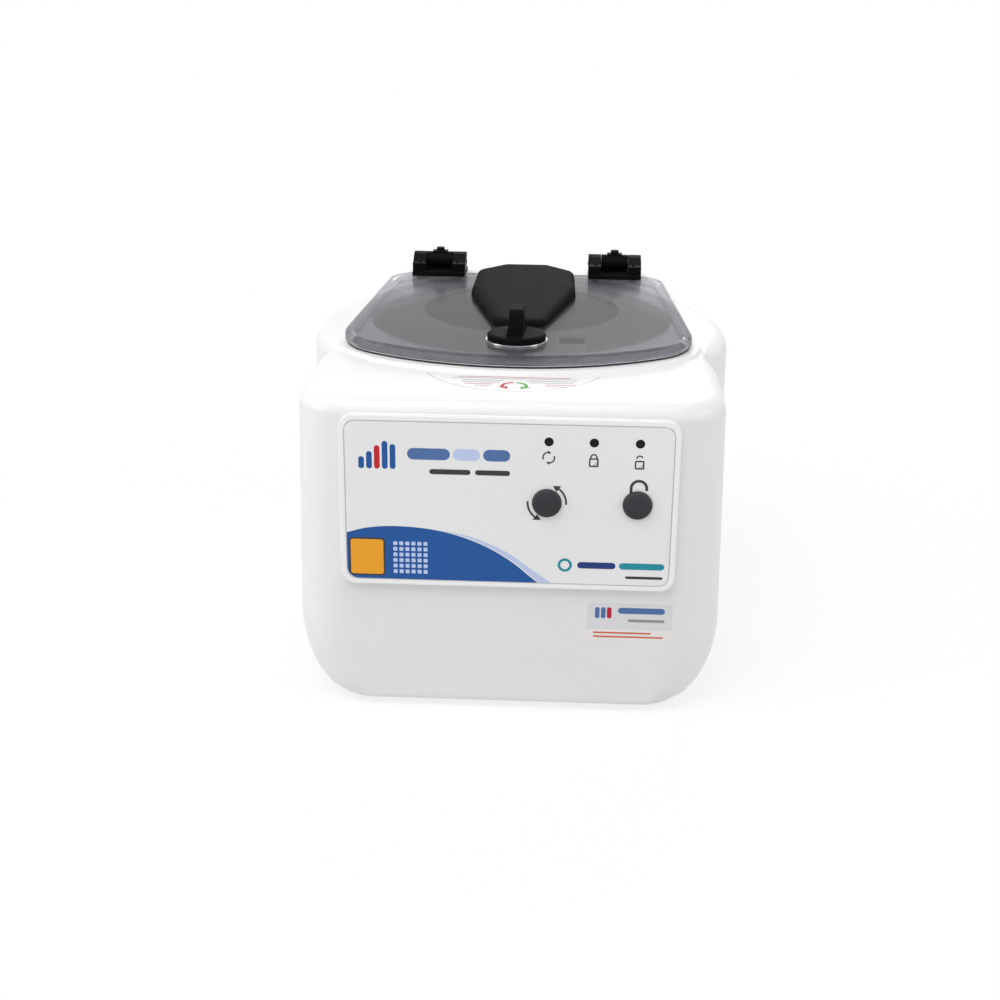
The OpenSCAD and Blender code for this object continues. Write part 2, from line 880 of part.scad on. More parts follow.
// dished pan that closes the bowl below
module bowl_pan() {
  x = bowl_r - bowl_round;
  out = bowl_round + bowl_t;
  color([0.55, 0.56, 0.58])
    translate([0, axis_y, 0])
      rotate_extrude($fn = 128)
        polygon(concat(
          [[14, bowl_floor - bowl_t]],
          [for (a = [-90:15:0]) [x + out * cos(a), pan_z + out * sin(a)]],
          [for (a = [0:-15:-90]) [x + bowl_round * cos(a), pan_z + bowl_round * sin(a)]],
          [[14, bowl_floor]]
        ));
}

module bowl_seal() {
  color([0.08, 0.08, 0.08])
    translate([0, axis_y, ceiling_z - 2])
      difference() {
        cylinder(h = 2, r = bowl_out + flange_w - 0.5, $fn = 96);
        translate([0, 0, -1])
          cylinder(h = 4, r = bowl_r + 0.5, $fn = 96);
      }
}

module bowl_posts() {
  color([0.6, 0.61, 0.63])
    for (a = [45:90:315])
      translate([85 * cos(a), axis_y + 85 * sin(a), base_z])
        difference() {
          cylinder(h = bowl_floor - bowl_t - base_z, r = 6, $fn = 32);
          translate([0, 0, -1])
            cylinder(h = bowl_floor, r = 3, $fn = 24);
        }
}

// Drive

mount_r = 50;
mount_angles = [30, 150, 270];

module motor_isolators() {
  h = plate_z - base_z;
  color([0.1, 0.1, 0.1])
    for (a = mount_angles)
      translate([mount_r * cos(a), axis_y + mount_r * sin(a), base_z])
        rotate_extrude($fn = 32)
          polygon([[0, 0], [9, 0], [9, 3], [7, h / 2], [9, h - 3], [9, h], [0, h]]);
}

module motor_plate() {
  color([0.68, 0.69, 0.7])
    translate([0, axis_y, plate_z])
      linear_extrude(3)
        difference() {
          polygon(wrap([for (a = [30, 150, 270]) [mount_r * cos(a), mount_r * sin(a), 12, 12]], 0));
          circle(r = 12);
        }
}

module motor() {
  color([0.3, 0.31, 0.33])
    translate([0, axis_y, motor_z])
      difference() {
        rotate_extrude()
          polygon([
            [0, 0], [motor_r - 4, 0], [motor_r, 4], [motor_r, 12], [motor_r - 2, 13],
            [motor_r - 2, motor_h - 13], [motor_r, motor_h - 12], [motor_r, motor_h - 5],
            [motor_r - 6, motor_h], [14, motor_h], [14, motor_h + 6], [0, motor_h + 6]
          ]);
        translate([0, 0, 20])
          cylinder(h = motor_h, r = shaft_r + fit, $fn = 48);
      }
}

module shaft_boot() {
  color([0.1, 0.1, 0.1])
    translate([0, axis_y, 0])
      rotate_extrude()
        polygon([
          [9, boss_z], [13.5, boss_z], [13.7, bowl_floor], [18, bowl_floor], [17, bowl_floor + 1.6],
          [shaft_r + 3, bowl_floor + 4], [shaft_r + 2, bowl_floor + 3]
        ]);
}

// Rotor

hub_h = 14;
arm_low = pivot_z - rotor_t / 2;
arm_top = pivot_z + rotor_t / 2;
boss_h = 4;
shaft_top = arm_top + boss_h + 4;

module rotor_shaft() {
  color([0.75, 0.76, 0.78])
    translate([0, axis_y, motor_z + 22])
      cylinder(h = shaft_top - motor_z - 22, r = shaft_r, $fn = 48);
}

module each_place() {
  for (a = [0:60:300])
    rotate([0, 0, a])
      children();
}

module rotor() {
  color([0.62, 0.64, 0.67])
    translate([0, axis_y, 0])
      difference() {
        union() {
          translate([0, 0, arm_low])
            cylinder(h = rotor_t, r = rotor_r, $fn = 96);
          translate([0, 0, arm_low - hub_h])
            cylinder(h = hub_h, r1 = 13, r2 = 20);
          translate([0, 0, arm_top])
            cylinder(h = boss_h, r = 14);
        }
        each_place()
          translate([slot_in, -slot_half, arm_low - hub_h])
            cube([rotor_r, 2 * slot_half, 60]);
        // trunnion bores across each slot
        each_place()
          translate([pivot_r, slot_half + 5, pivot_z])
            rotate([90, 0, 0])
              cylinder(h = 2 * slot_half + 10, r = trunnion_r + fit, $fn = 32);
        translate([0, 0, arm_low - hub_h - 1])
          cylinder(h = 60, r = shaft_r + 0.02, $fn = 48);
      }
}

module rotor_nut() {
  color([0.15, 0.15, 0.16])
    translate([0, axis_y, arm_top + boss_h])
      difference() {
        union() {
          cylinder(h = 3, r = 12);
          for (a = [0:30:150])
            rotate([0, 0, a])
              translate([-10.5, -2.2, 3])
                cube([21, 4.4, 7]);
          translate([0, 0, 3])
            cylinder(h = 7, r = 9.5);
        }
        translate([0, 0, -1])
          cylinder(h = 5.5, r = shaft_r + 0.02, $fn = 48);
      }
}

floor_t = 4;

module tube_holder(a) {
  lip = 11;
  color([0.80, 0.81, 0.83])
    translate([0, axis_y, pivot_z])
      rotate([0, 0, a])
        translate([pivot_r, 0, 0])
          difference() {
            union() {
              rotate_extrude()
                polygon([
                  [0, -holder_down], [6, -holder_down], [9, -holder_down + 1.5], [10.4, -holder_down + 5],
                  [10.4, -7], [collar_r, -5], [collar_r, lip - 1], [collar_r - 1, lip], [0, lip]
                ]);
              translate([0, slot_half + 4.5, 0])
                rotate([90, 0, 0])
                  cylinder(h = 2 * slot_half + 9, r = trunnion_r, $fn = 32);
            }
            translate([0, 0, floor_t - holder_down])
              cylinder(h = holder_down + lip, r = tube_r);
          }
}

module tube_holder_1() {
  tube_holder(0);
}

module tube_holder_2() {
  tube_holder(60);
}

module tube_holder_3() {
  tube_holder(120);
}

module tube_holder_4() {
  tube_holder(180);
}

module tube_holder_5() {
  tube_holder(240);
}

module tube_holder_6() {
  tube_holder(300);
}

// Mains inlet

inlet_x = -55;
inlet_z = 62;

module power_inlet() {
  color([0.1, 0.1, 0.1])
    translate([inlet_x, rear_y, inlet_z])
      difference() {
        union() {
          translate([-25, -2.2, -13])
            cube([50, 2.2, 26]);
          translate([-14, -24, -10.5])
            cube([28, 23, 21]);
        }
        translate([0, 1, 0])
          rotate([90, 0, 0])
            linear_extrude(18)
              polygon([[-12, -8], [12, -8], [12, 3.5], [7.5, 8], [-7.5, 8], [-12, 3.5]]);
        for (s = [-1, 1])
          translate([s * 20, 1, 0])
            rotate([90, 0, 0])
              cylinder(h = 6, r = 1.7, $fn = 24);
      }
  // contact blades
  color([0.8, 0.75, 0.5])
    for (p = [[-7, -1], [7, -1], [0, 3]])
      translate([inlet_x + p.x - 1, rear_y - 18, inlet_z + p.y - 2])
        cube([2, 12, 4]);
}

module inlet_screws() {
  color([0.6, 0.6, 0.62])
    for (s = [-1, 1])
      translate([inlet_x + s * 20, rear_y, inlet_z])
        rotate([-90, 0, 0]) {
          translate([0, 0, -4])
            cylinder(h = 4, r = 1.65, $fn = 24);
          cylinder(h = 0.5, r = 2.6, $fn = 24);
        }
}

cabinet();
base_plate();
feet();
base_screws();
panel_bezel();
panel_skin();
indicator_windows();
start_button();
unlock_button();
circuit_board();
seat_seal();
lid();
lid_cover();
latch_knob();
knob_ring();
latch_shaft();
latch_cam();
strike_plate();
lock_tongue();
lock_solenoid();
lock_bolt();
hinge_lid_leaves();
hinge_base_leaves();
hinge_pins();
lid_leaf_screws();
base_leaf_screws();
chamber_bowl();
bowl_pan();
bowl_seal();
bowl_posts();
motor_plate();
motor_isolators();
motor();
shaft_boot();
rotor_shaft();
rotor();
rotor_nut();
tube_holder_1();
tube_holder_2();
tube_holder_3();
tube_holder_4();
tube_holder_5();
tube_holder_6();
power_inlet();
inlet_screws();
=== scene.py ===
"""Finishes for a small bench centrifuge with a moulded body, a frosted lid and a swing-out rotor."""

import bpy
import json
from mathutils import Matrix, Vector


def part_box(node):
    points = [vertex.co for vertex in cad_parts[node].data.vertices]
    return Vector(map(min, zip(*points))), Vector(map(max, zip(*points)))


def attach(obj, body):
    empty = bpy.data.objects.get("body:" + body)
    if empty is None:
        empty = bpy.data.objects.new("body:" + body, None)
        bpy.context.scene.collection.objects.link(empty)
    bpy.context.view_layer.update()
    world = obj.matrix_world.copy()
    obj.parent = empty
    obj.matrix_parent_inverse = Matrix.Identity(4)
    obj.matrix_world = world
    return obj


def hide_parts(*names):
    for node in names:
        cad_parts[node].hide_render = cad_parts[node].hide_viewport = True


bl_info = {
    "name": "Bench Centrifuge Finishes",
    "version": (1, 0, 0),
    "blender": (4, 5, 0),
    "location": "View3D > Sidebar > Centrifuge",
    "description": "Moulded body, frosted lid, printed panel, hinges and rotor of a bench centrifuge",
    "category": "Object",
}

import json
import math

import bpy
from bpy.props import FloatProperty, FloatVectorProperty, PointerProperty
from mathutils import Matrix, Vector

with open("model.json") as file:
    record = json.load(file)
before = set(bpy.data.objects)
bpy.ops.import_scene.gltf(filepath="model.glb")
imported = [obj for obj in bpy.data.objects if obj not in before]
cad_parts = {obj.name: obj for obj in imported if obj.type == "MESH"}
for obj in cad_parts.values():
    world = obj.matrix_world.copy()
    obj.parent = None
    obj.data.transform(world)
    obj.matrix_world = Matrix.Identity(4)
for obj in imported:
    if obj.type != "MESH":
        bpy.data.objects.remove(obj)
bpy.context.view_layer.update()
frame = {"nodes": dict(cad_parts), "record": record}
RECORD = frame["record"]
BODY_OF = {n: b for b, ns in RECORD["behaviour"]["bodies"].items() for n in ns}
MM = 0.001

# Merging and softening of the nodes' meshes
MERGE_DISTANCE = 0.000002
FLAT_ANGLE = math.radians(0.4)
SOFT_ANGLE = math.radians(38)
SOFT_STEPS = 2

# Printed pieces: film thickness and usual height over the surface, in millimetres
FILM = 0.03
LIFT = 0.05
CORNER_STEPS = 8
BARB_SHARE = 0.55  # half width of an arrow head over its length


# Places taken from the frame

def centre_of(node):
    low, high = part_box(node)
    return (low + high) / 2


def panel_face():
    """Depth of the printed skin's front, as a distance along Y."""
    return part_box("panel_skin")[0].y


def top_face():
    """Height of the cabinet's flat top, which lies below the raised seat of the seal."""
    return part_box("seat_seal")[0].z - 3 * MM


# Selecting and finishing pieces

def only(piece):
    bpy.ops.object.select_all(action="DESELECT")
    piece.select_set(True)
    bpy.context.view_layer.objects.active = piece


def apply_modifiers(piece):
    only(piece)
    for modifier in list(piece.modifiers):
        bpy.ops.object.modifier_apply(modifier=modifier.name)


def settle(piece):
    """Puts the piece's place into its mesh."""
    only(piece)
    bpy.ops.object.transform_apply(location=True, rotation=True, scale=True)


def paint(piece, material):
    piece.data.materials.clear()
    piece.data.materials.append(material)


def copy_of(node, name, flats=True):
    """A merged copy of a node's mesh."""
    piece = bpy.data.objects.new(name, frame["nodes"][node].data.copy())
    bpy.context.scene.collection.objects.link(piece)
    only(piece)
    bpy.ops.object.mode_set(mode="EDIT")
    bpy.ops.mesh.select_all(action="SELECT")
    bpy.ops.mesh.remove_doubles(threshold=MERGE_DISTANCE)
    if flats:
        bpy.ops.mesh.dissolve_limited(angle_limit=FLAT_ANGLE)
    bpy.ops.object.mode_set(mode="OBJECT")
    if piece.data.has_custom_normals:
        bpy.ops.mesh.customdata_custom_splitnormals_clear()
    return piece


def dress(node, material, bevel=0.0, angle=35.0, flats=True, shape=None):
    """A merged, softly edged and smoothly shaded copy of a node, in that node's place."""
    piece = copy_of(node, node + "_finish", flats)
    if shape:
        shape(piece)
    if bevel:
        soft = piece.modifiers.new("soft_edges", "BEVEL")
        soft.width = bevel * MM
        soft.segments = SOFT_STEPS
        soft.limit_method = "ANGLE"
        soft.angle_limit = SOFT_ANGLE
        apply_modifiers(piece)
    bpy.ops.object.shade_smooth_by_angle(angle=math.radians(angle))
    even = piece.modifiers.new("even_shading", "WEIGHTED_NORMAL")
    even.keep_sharp = True
    apply_modifiers(piece)
    paint(piece, material)
    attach(piece, BODY_OF[node])
    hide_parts(node)


def dress_all(table):
    """Dresses each node of a table of nodes, materials and edge widths in millimetres."""
    for node, material, bevel in table:
        dress(node, material, bevel=bevel)


# Flat printed shapes

def flat_shape(name, loops, thick):
    """A thin filled shape in the XY plane from closed loops in millimetres, inner loops as holes."""
    curve = bpy.data.curves.new(name, "CURVE")
    curve.dimensions = "2D"
    curve.fill_mode = "BOTH"
    curve.extrude = thick * MM / 2
    for loop in loops:
        spline = curve.splines.new("POLY")
        spline.points.add(len(loop) - 1)
        for point, (x, y) in zip(spline.points, loop):
            point.co = (x * MM, y * MM, 0, 1)
        spline.use_cyclic_u = True
    piece = bpy.data.objects.new(name, curve)
    bpy.context.scene.collection.objects.link(piece)
    only(piece)
    bpy.ops.object.convert(target="MESH")
    return bpy.context.view_layer.objects.active


def on_panel(name, loops, material, lift=LIFT):
    """A printed shape laid on the flat panel skin."""
    piece = flat_shape(name, loops, FILM)
    piece.rotation_euler = (math.radians(90), 0, 0)
    piece.location = (0, panel_face() - lift * MM, 0)
    settle(piece)
    paint(piece, material)
    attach(piece, "cabinet")


def on_body(name, loops, material, axis, start, lift=LIFT, cuts=()):
    """A printed shape laid on the moulded body, dropped on it along Z or pushed on it along Y."""
    piece = flat_shape(name, loops, 0)
    if axis == "Y":
        piece.rotation_euler = (math.radians(90), 0, 0)
        piece.location = (0, start, 0)
    else:
        piece.location = (0, 0, start)
    settle(piece)
    bpy.ops.object.mode_set(mode="EDIT")
    for x in cuts:
        bpy.ops.mesh.select_all(action="SELECT")
        bpy.ops.mesh.bisect(plane_co=(x * MM, 0, 0), plane_no=(1, 0, 0))
    bpy.ops.object.mode_set(mode="OBJECT")
    lay = piece.modifiers.new("lay_on_body", "SHRINKWRAP")
    lay.target = bpy.data.objects["cabinet_finish"]
    lay.wrap_method = "PROJECT"
    lay.wrap_mode = "ABOVE_SURFACE"
    lay.use_project_y = axis == "Y"
    lay.use_project_z = axis == "Z"
    lay.use_positive_direction = axis == "Y"
    lay.use_negative_direction = axis == "Z"
    lay.offset = lift * MM
    film = piece.modifiers.new("film", "SOLIDIFY")
    film.thickness = FILM * MM
    film.offset = 0
    apply_modifiers(piece)
    paint(piece, material)
    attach(piece, "cabinet")


def arc_points(cx, cy, r, start, end, steps=24):
    return [
        (cx + r * math.cos(math.radians(start + (end - start) * i / steps)),
         cy + r * math.sin(math.radians(start + (end - start) * i / steps)))
        for i in range(steps + 1)
    ]


def circle(cx, cy, r):
    """Sixty points round a circle, the last one a step short of the first."""
    return arc_points(cx, cy, r, 0, 354, 59)


def round_rect(x0, y0, x1, y1, r):
    corners = ((x1 - r, y0 + r, -90), (x1 - r, y1 - r, 0), (x0 + r, y1 - r, 90), (x0 + r, y0 + r, 180))
    return [point for cx, cy, start in corners
            for point in arc_points(cx, cy, r, start, start + 90, CORNER_STEPS)]


def band(cx, cy, r, start, end, width):
    """Loop of a part of a ring."""
    outer = arc_points(cx, cy, r + width / 2, start, end)
    inner = arc_points(cx, cy, r - width / 2, start, end)
    return outer + inner[::-1]


def arrow_band(cx, cy, r, start, end, width, head):
    """Loop of a curved arrow from the start angle to its head at the end angle."""
    turn = 1 if end > start else -1
    neck = end - turn * math.degrees(head / r)
    tip = arc_points(cx, cy, r, end, end, 1)[0]
    wide = [arc_points(cx, cy, r + s * head * BARB_SHARE, neck, neck, 1)[0] for s in (1, -1)]
    outer = arc_points(cx, cy, r + width / 2, start, neck)
    inner = arc_points(cx, cy, r - width / 2, start, neck)
    return outer + [wide[0], tip, wide[1]] + inner[::-1]


def pill(x, z, length, height):
    """A rounded bar from its left end and its middle height."""
    return round_rect(x, z - height / 2, x + length, z + height / 2, min(length, height) / 2 - 0.01)


def pills(row, *spans):
    """Pills of one row (middle height, thickness), each from its left end and length."""
    return [pill(x, row[0], length, row[1]) for x, length in spans]


def smooth_curve(points, steps=8):
    """Catmull-Rom curve through given points."""
    p = [points[0]] + points + [points[-1]]
    out = []
    for i in range(1, len(p) - 2):
        for k in range(steps):
            t = k / steps
            out.append(tuple(
                0.5 * (2 * p[i][a] + (p[i + 1][a] - p[i - 1][a]) * t
                       + (2 * p[i - 1][a] - 5 * p[i][a] + 4 * p[i + 1][a] - p[i + 2][a]) * t * t
                       + (3 * p[i][a] - p[i - 1][a] - 3 * p[i + 1][a] + p[i + 2][a]) * t ** 3)
                for a in (0, 1)))
    return out + [points[-1]]


# Shared node groups

COLOUR, NUMBER = "NodeSocketColor", "NodeSocketFloat"
OUTPUTS = [("Color", COLOUR), ("Roughness", NUMBER), ("Height", NUMBER)]


def new_group(name, inputs):
    """The group of that name and, where it is new, its input and output nodes."""
    made = bpy.data.node_groups.get(name)
    if made:
        return made, None, None
    made = bpy.data.node_groups.new(name, "ShaderNodeTree")
    for label, kind, value in inputs:
        socket = made.interface.new_socket(label, in_out="INPUT", socket_type=kind)
        socket.default_value = value
    for label, kind in OUTPUTS:
        made.interface.new_socket(label, in_out="OUTPUT", socket_type=kind)
    return made, made.nodes.new("NodeGroupInput"), made.nodes.new("NodeGroupOutput")


def add(tree, kind, **values):
    node = tree.nodes.new(kind)
    for key, value in values.items():
        setattr(node, key, value)
    return node


def set_or_link(tree, socket, value):
    """Sets a socket to a value, or links it where the value comes from another node."""
    if hasattr(value, "links"):
        tree.links.new(value, socket)
    else:
        socket.default_value = value


def ramp(tree, source, low, high, to_low=0.0, to_high=1.0):
    """The source's range from low to high, clamped and spread over another range."""
    node = add(tree, "ShaderNodeMapRange")
    tree.links.new(source, node.inputs["Value"])
    for label, value in (("From Min", low), ("From Max", high)):
        node.inputs[label].default_value = value
    for label, value in (("To Min", to_low), ("To Max", to_high)):
        set_or_link(tree, node.inputs[label], value)
    return node.outputs["Result"]


def tint(tree, factor, first, second):
    """A mix of two colours."""
    node = add(tree, "ShaderNodeMix", data_type="RGBA")
    tree.links.new(factor, node.inputs["Factor"])
    for label, value in (("A", first), ("B", second)):
        socket = [s for s in node.inputs if s.name == label and s.type == "RGBA"][0]
        set_or_link(tree, socket, value)
    return [s for s in node.outputs if s.type == "RGBA"][0]


def noise(tree, vector, scale, detail=2.0, rough=0.5):
    node = add(tree, "ShaderNodeTexNoise")
    tree.links.new(vector, node.inputs["Vector"])
    set_or_link(tree, node.inputs["Scale"], scale)
    node.inputs["Detail"].default_value = detail
    node.inputs["Roughness"].default_value = rough
    return node.outputs["Fac"]


def join(made, start, end, colour, gloss, height):
    """Links a group's colour, gloss and height to its outputs."""
    made.links.new(colour, end.inputs["Color"])
    low, high = start.outputs["Roughness Low"], start.outputs["Roughness High"]
    made.links.new(ramp(made, gloss, 0.3, 0.7, low, high), end.inputs["Roughness"])
    made.links.new(height, end.inputs["Height"])


def moulded_group():
    """Moulded plastic: fine mould grain, slow shade drift and faint handling marks in the gloss."""
    made, start, end = new_group(
        "moulded_grain",
        [("Light", COLOUR, (0.8, 0.8, 0.8, 1)), ("Shade", COLOUR, (0.7, 0.7, 0.7, 1)),
         ("Grain Scale", NUMBER, 2600.0), ("Roughness Low", NUMBER, 0.35), ("Roughness High", NUMBER, 0.45)],
    )
    if start:
        place = add(made, "ShaderNodeTexCoord").outputs["Object"]
        drift = noise(made, place, scale=9.0, detail=3.0)
        marks = noise(made, place, scale=55.0, detail=4.0, rough=0.6)
        grain = noise(made, place, start.outputs["Grain Scale"])
        colour = tint(made, ramp(made, drift, 0.35, 0.65), start.outputs["Light"], start.outputs["Shade"])
        join(made, start, end, colour, marks, grain)
    return made


def brushed_group():
    """Brushed or rolled metal: streaks along one axis and a worn, uneven gloss."""
    made, start, end = new_group(
        "brushed_streaks",
        [("Light", COLOUR, (0.7, 0.7, 0.7, 1)), ("Dark", COLOUR, (0.5, 0.5, 0.5, 1)),
         ("Roughness Low", NUMBER, 0.25), ("Roughness High", NUMBER, 0.45)],
    )
    if start:
        place = add(made, "ShaderNodeTexCoord").outputs["Object"]
        stretch = add(made, "ShaderNodeMapping")
        stretch.inputs["Scale"].default_value = (60, 1600, 1600)
        made.links.new(place, stretch.inputs["Vector"])
        streak = noise(made, stretch.outputs["Vector"], scale=1.0, detail=3.0, rough=0.6)
        cloud = noise(made, place, scale=40.0, detail=3.0)
        colour = tint(made, ramp(made, cloud, 0.3, 0.7), start.outputs["Light"], start.outputs["Dark"])
        join(made, start, end, colour, streak, streak)
    return made


def from_spin_axis(tree, place):
    """A mapping that moves the spin axis to the pattern's origin."""
    centre = centre_of("rotor_shaft")
    shift = add(tree, "ShaderNodeMapping")
    shift.inputs["Location"].default_value = (-centre.x, -centre.y, 0)
    tree.links.new(place, shift.inputs["Vector"])
    return shift


def turned_group():
    """Turned or spun metal: fine tool rings about the spin axis."""
    made, start, end = new_group(
        "turned_rings",
        [("Light", COLOUR, (0.7, 0.7, 0.7, 1)), ("Dark", COLOUR, (0.5, 0.5, 0.5, 1)),
         ("Ring Scale", NUMBER, 900.0), ("Roughness Low", NUMBER, 0.22), ("Roughness High", NUMBER, 0.4)],
    )
    if start:
        place = add(made, "ShaderNodeTexCoord").outputs["Object"]
        shift = from_spin_axis(made, place)
        split = add(made, "ShaderNodeSeparateXYZ")
        made.links.new(shift.outputs["Vector"], split.inputs["Vector"])
        flat = add(made, "ShaderNodeCombineXYZ")
        made.links.new(split.outputs["X"], flat.inputs["X"])
        made.links.new(split.outputs["Y"], flat.inputs["Y"])
        far = add(made, "ShaderNodeVectorMath", operation="LENGTH")
        made.links.new(flat.outputs["Vector"], far.inputs[0])
        ring = add(made, "ShaderNodeCombineXYZ")
        made.links.new(far.outputs["Value"], ring.inputs["X"])
        made.links.new(split.outputs["Z"], ring.inputs["Y"])
        rings = noise(made, ring.outputs["Vector"], start.outputs["Ring Scale"], detail=3.0, rough=0.6)
        cloud = noise(made, place, scale=30.0, detail=3.0)
        colour = tint(made, ramp(made, cloud, 0.3, 0.7), start.outputs["Light"], start.outputs["Dark"])
        join(made, start, end, colour, rings, rings)
    return made


RELIEF_DEPTH = 0.00005


def finish_material(name, group, values, bump, **shader):
    """A Principled material whose colour, gloss and bump come from a shared group."""
    name = "finish_" + name
    made = bpy.data.materials.get(name)
    if made:
        return made
    made = bpy.data.materials.new(name)
    made.use_nodes = True
    tree = made.node_tree
    surface = tree.nodes["Principled BSDF"]
    detail = add(tree, "ShaderNodeGroup", node_tree=group)
    for label, value in values.items():
        detail.inputs[label].default_value = value
    tree.links.new(detail.outputs["Color"], surface.inputs["Base Color"])
    tree.links.new(detail.outputs["Roughness"], surface.inputs["Roughness"])
    relief = add(tree, "ShaderNodeBump")
    relief.inputs["Strength"].default_value = bump
    relief.inputs["Distance"].default_value = RELIEF_DEPTH
    tree.links.new(detail.outputs["Height"], relief.inputs["Height"])
    tree.links.new(relief.outputs["Normal"], surface.inputs["Normal"])
    for label, value in shader.items():
        surface.inputs[label.replace("_", " ")].default_value = value
    return made


def rgba(colour, share=1.0):
    """A node colour, darkened to a share of its level."""
    return (colour[0] * share, colour[1] * share, colour[2] * share, 1)


def moulded(name, colour, low, high, grain, bump, shade, **shader):
    """Plastic or rubber with its gloss range, grain scale, bump and share of the darker shade."""
    return finish_material(
        name, moulded_group(),
        {"Light": rgba(colour), "Shade": rgba(colour, shade), "Grain Scale": grain,
         "Roughness Low": low, "Roughness High": high}, bump, **shader)


def printed(name, colour):
    return moulded(name, colour, low=0.42, high=0.5, grain=1900.0, bump=0.1, shade=0.97,
                   Specular_IOR_Level=0.2)


def brushed(name, colour, low, high):
    """Metal with a fine lengthwise grain."""
    return finish_material(
        name, brushed_group(),
        {"Light": rgba(colour), "Dark": rgba(colour, 0.8), "Roughness Low": low, "Roughness High": high},
        bump=0.15, Metallic=1.0)


def turned(name, colour, low, high, bump, rings):
    """Metal with rings about the spin axis."""
    return finish_material(
        name, turned_group(),
        {"Light": rgba(colour), "Dark": rgba(colour, 0.82), "Ring Scale": rings,
         "Roughness Low": low, "Roughness High": high},
        bump, Metallic=1.0)


def plain_steel():
    return brushed("steel_plain", bpy.context.scene.centrifuge_body.metal_colour, low=0.25, high=0.4)


def zinc_plate():
    return brushed("zinc_plate", bpy.context.scene.centrifuge_body.metal_colour, low=0.35, high=0.55)


def seal_rubber():
    return moulded("seal_rubber", (0.010, 0.010, 0.010), low=0.6, high=0.75, grain=1200.0, bump=0.3,
                   shade=0.8)


def foot_rubber():
    return moulded("foot_rubber", (0.03, 0.03, 0.03), low=0.7, high=0.85, grain=900.0, bump=0.5, shade=0.8)


# Settings

def colour_setting(name, description, default):
    return FloatVectorProperty(name=name, description=description, subtype="COLOR", size=3,
                               min=0, max=1, default=default)


def power_setting(name, description, default):
    return FloatProperty(name=name, description=description, subtype="POWER", default=default)


class CENTRIFUGE_PG_body(bpy.types.PropertyGroup):
    body_colour: colour_setting("Body", "Colour of the moulded cabinet", (0.80, 0.80, 0.803))
    bezel_colour: colour_setting("Bezel", "Colour of the raised panel rim", (0.90, 0.90, 0.90))
    metal_colour: colour_setting("Metal", "Colour of plated steel pieces", (0.62, 0.62, 0.64))


class CENTRIFUGE_PG_panel(bpy.types.PropertyGroup):
    skin_colour: colour_setting("Skin", "Ground colour of the printed skin", (0.84, 0.84, 0.84))
    field_colour: colour_setting("Field", "Colour of the curved field", (0.018, 0.097, 0.34))
    band_colour: colour_setting("Band", "Colour of the pale band beside the field", (0.54, 0.62, 0.86))
    tile_colour: colour_setting("Tile", "Colour of the bare square tile", (0.87, 0.38, 0.025))
    ink_colour: colour_setting("Ink", "Colour of the printed symbols", (0.045, 0.048, 0.052))
    accent_colour: colour_setting("Accent", "Second colour of the bar motif", (0.55, 0.02, 0.03))
    slate_colour: colour_setting("Slate", "Colour of the wide pills", (0.085, 0.17, 0.39))
    navy_colour: colour_setting("Navy", "Colour of the first lower pill", (0.02, 0.045, 0.20))
    teal_colour: colour_setting("Teal", "Colour of the ring and the second lower pill", (0.02, 0.28, 0.36))
    stroke: FloatProperty(name="Stroke", description="Line width of the small symbols",
                          subtype="DISTANCE", unit="LENGTH", default=0.0009)


class CENTRIFUGE_PG_lid(bpy.types.PropertyGroup):
    frost_colour: colour_setting("Frost", "Colour of the frosted lid", (0.41, 0.41, 0.435))
    # the rear corners' colour is painted light of the white deck seen through the lid
    corner_painted_light_colour: colour_setting("Corners", "Colour of the lid's rear corners", (0.62, 0.62, 0.65))
    disc_colour: colour_setting("Disc", "Colour of the disc in the middle of the lid", (0.27, 0.265, 0.255))
    black_colour: colour_setting("Black", "Colour of the cover, knob and hinges", (0.0065, 0.0065, 0.007))
    clarity: FloatProperty(name="Clarity", description="Share of light that the lid lets through",
                           subtype="FACTOR", min=0, max=1, default=0.9)


class CENTRIFUGE_PG_stage(bpy.types.PropertyGroup):
    key: power_setting("Key", "Power of the large lamp above the front", 18.6)
    fill: power_setting("Fill", "Power of the lamps at the sides and the rear", 8.6)
    sky: FloatProperty(name="Sky", description="Level of the white surroundings", default=0.45)
    lens: FloatProperty(name="Lens", description="Focal length of the camera", subtype="DISTANCE_CAMERA",
                        default=55.58)


# Body

class CENTRIFUGE_OT_cabinet(bpy.types.Operator):
    """Finishes the moulded cabinet with its seat and hinge plateau"""
    bl_idname = "centrifuge.cabinet"
    bl_label = "Cabinet"

    def execute(self, context):
        look = context.scene.centrifuge_body
        white = moulded("cabinet_white", look.body_colour, low=0.34, high=0.44, grain=1500.0, bump=0.12,
                        shade=0.985)
        dress("cabinet", white, angle=30, flats=False)
        return {"FINISHED"}


class CENTRIFUGE_OT_base(bpy.types.Operator):
    """Finishes the base plate, feet and their screws"""
    bl_idname = "centrifuge.base"
    bl_label = "Base and Feet"

    def execute(self, context):
        dress_all([("base_plate", zinc_plate(), 0.3), ("feet", foot_rubber(), 0.5),
                   ("base_screws", plain_steel(), 0.3)])
        return {"FINISHED"}


class CENTRIFUGE_OT_inlet(bpy.types.Operator):
    """Finishes the mains inlet at the rear with its screws"""
    bl_idname = "centrifuge.inlet"
    bl_label = "Mains Inlet"

    def execute(self, context):
        black = moulded("inlet_black", (0.02, 0.02, 0.02), low=0.4, high=0.55, grain=1800.0, bump=0.3,
                        shade=0.85)
        dress_all([("power_inlet", black, 0.3), ("inlet_screws", plain_steel(), 0.15)])
        return {"FINISHED"}


# Control panel

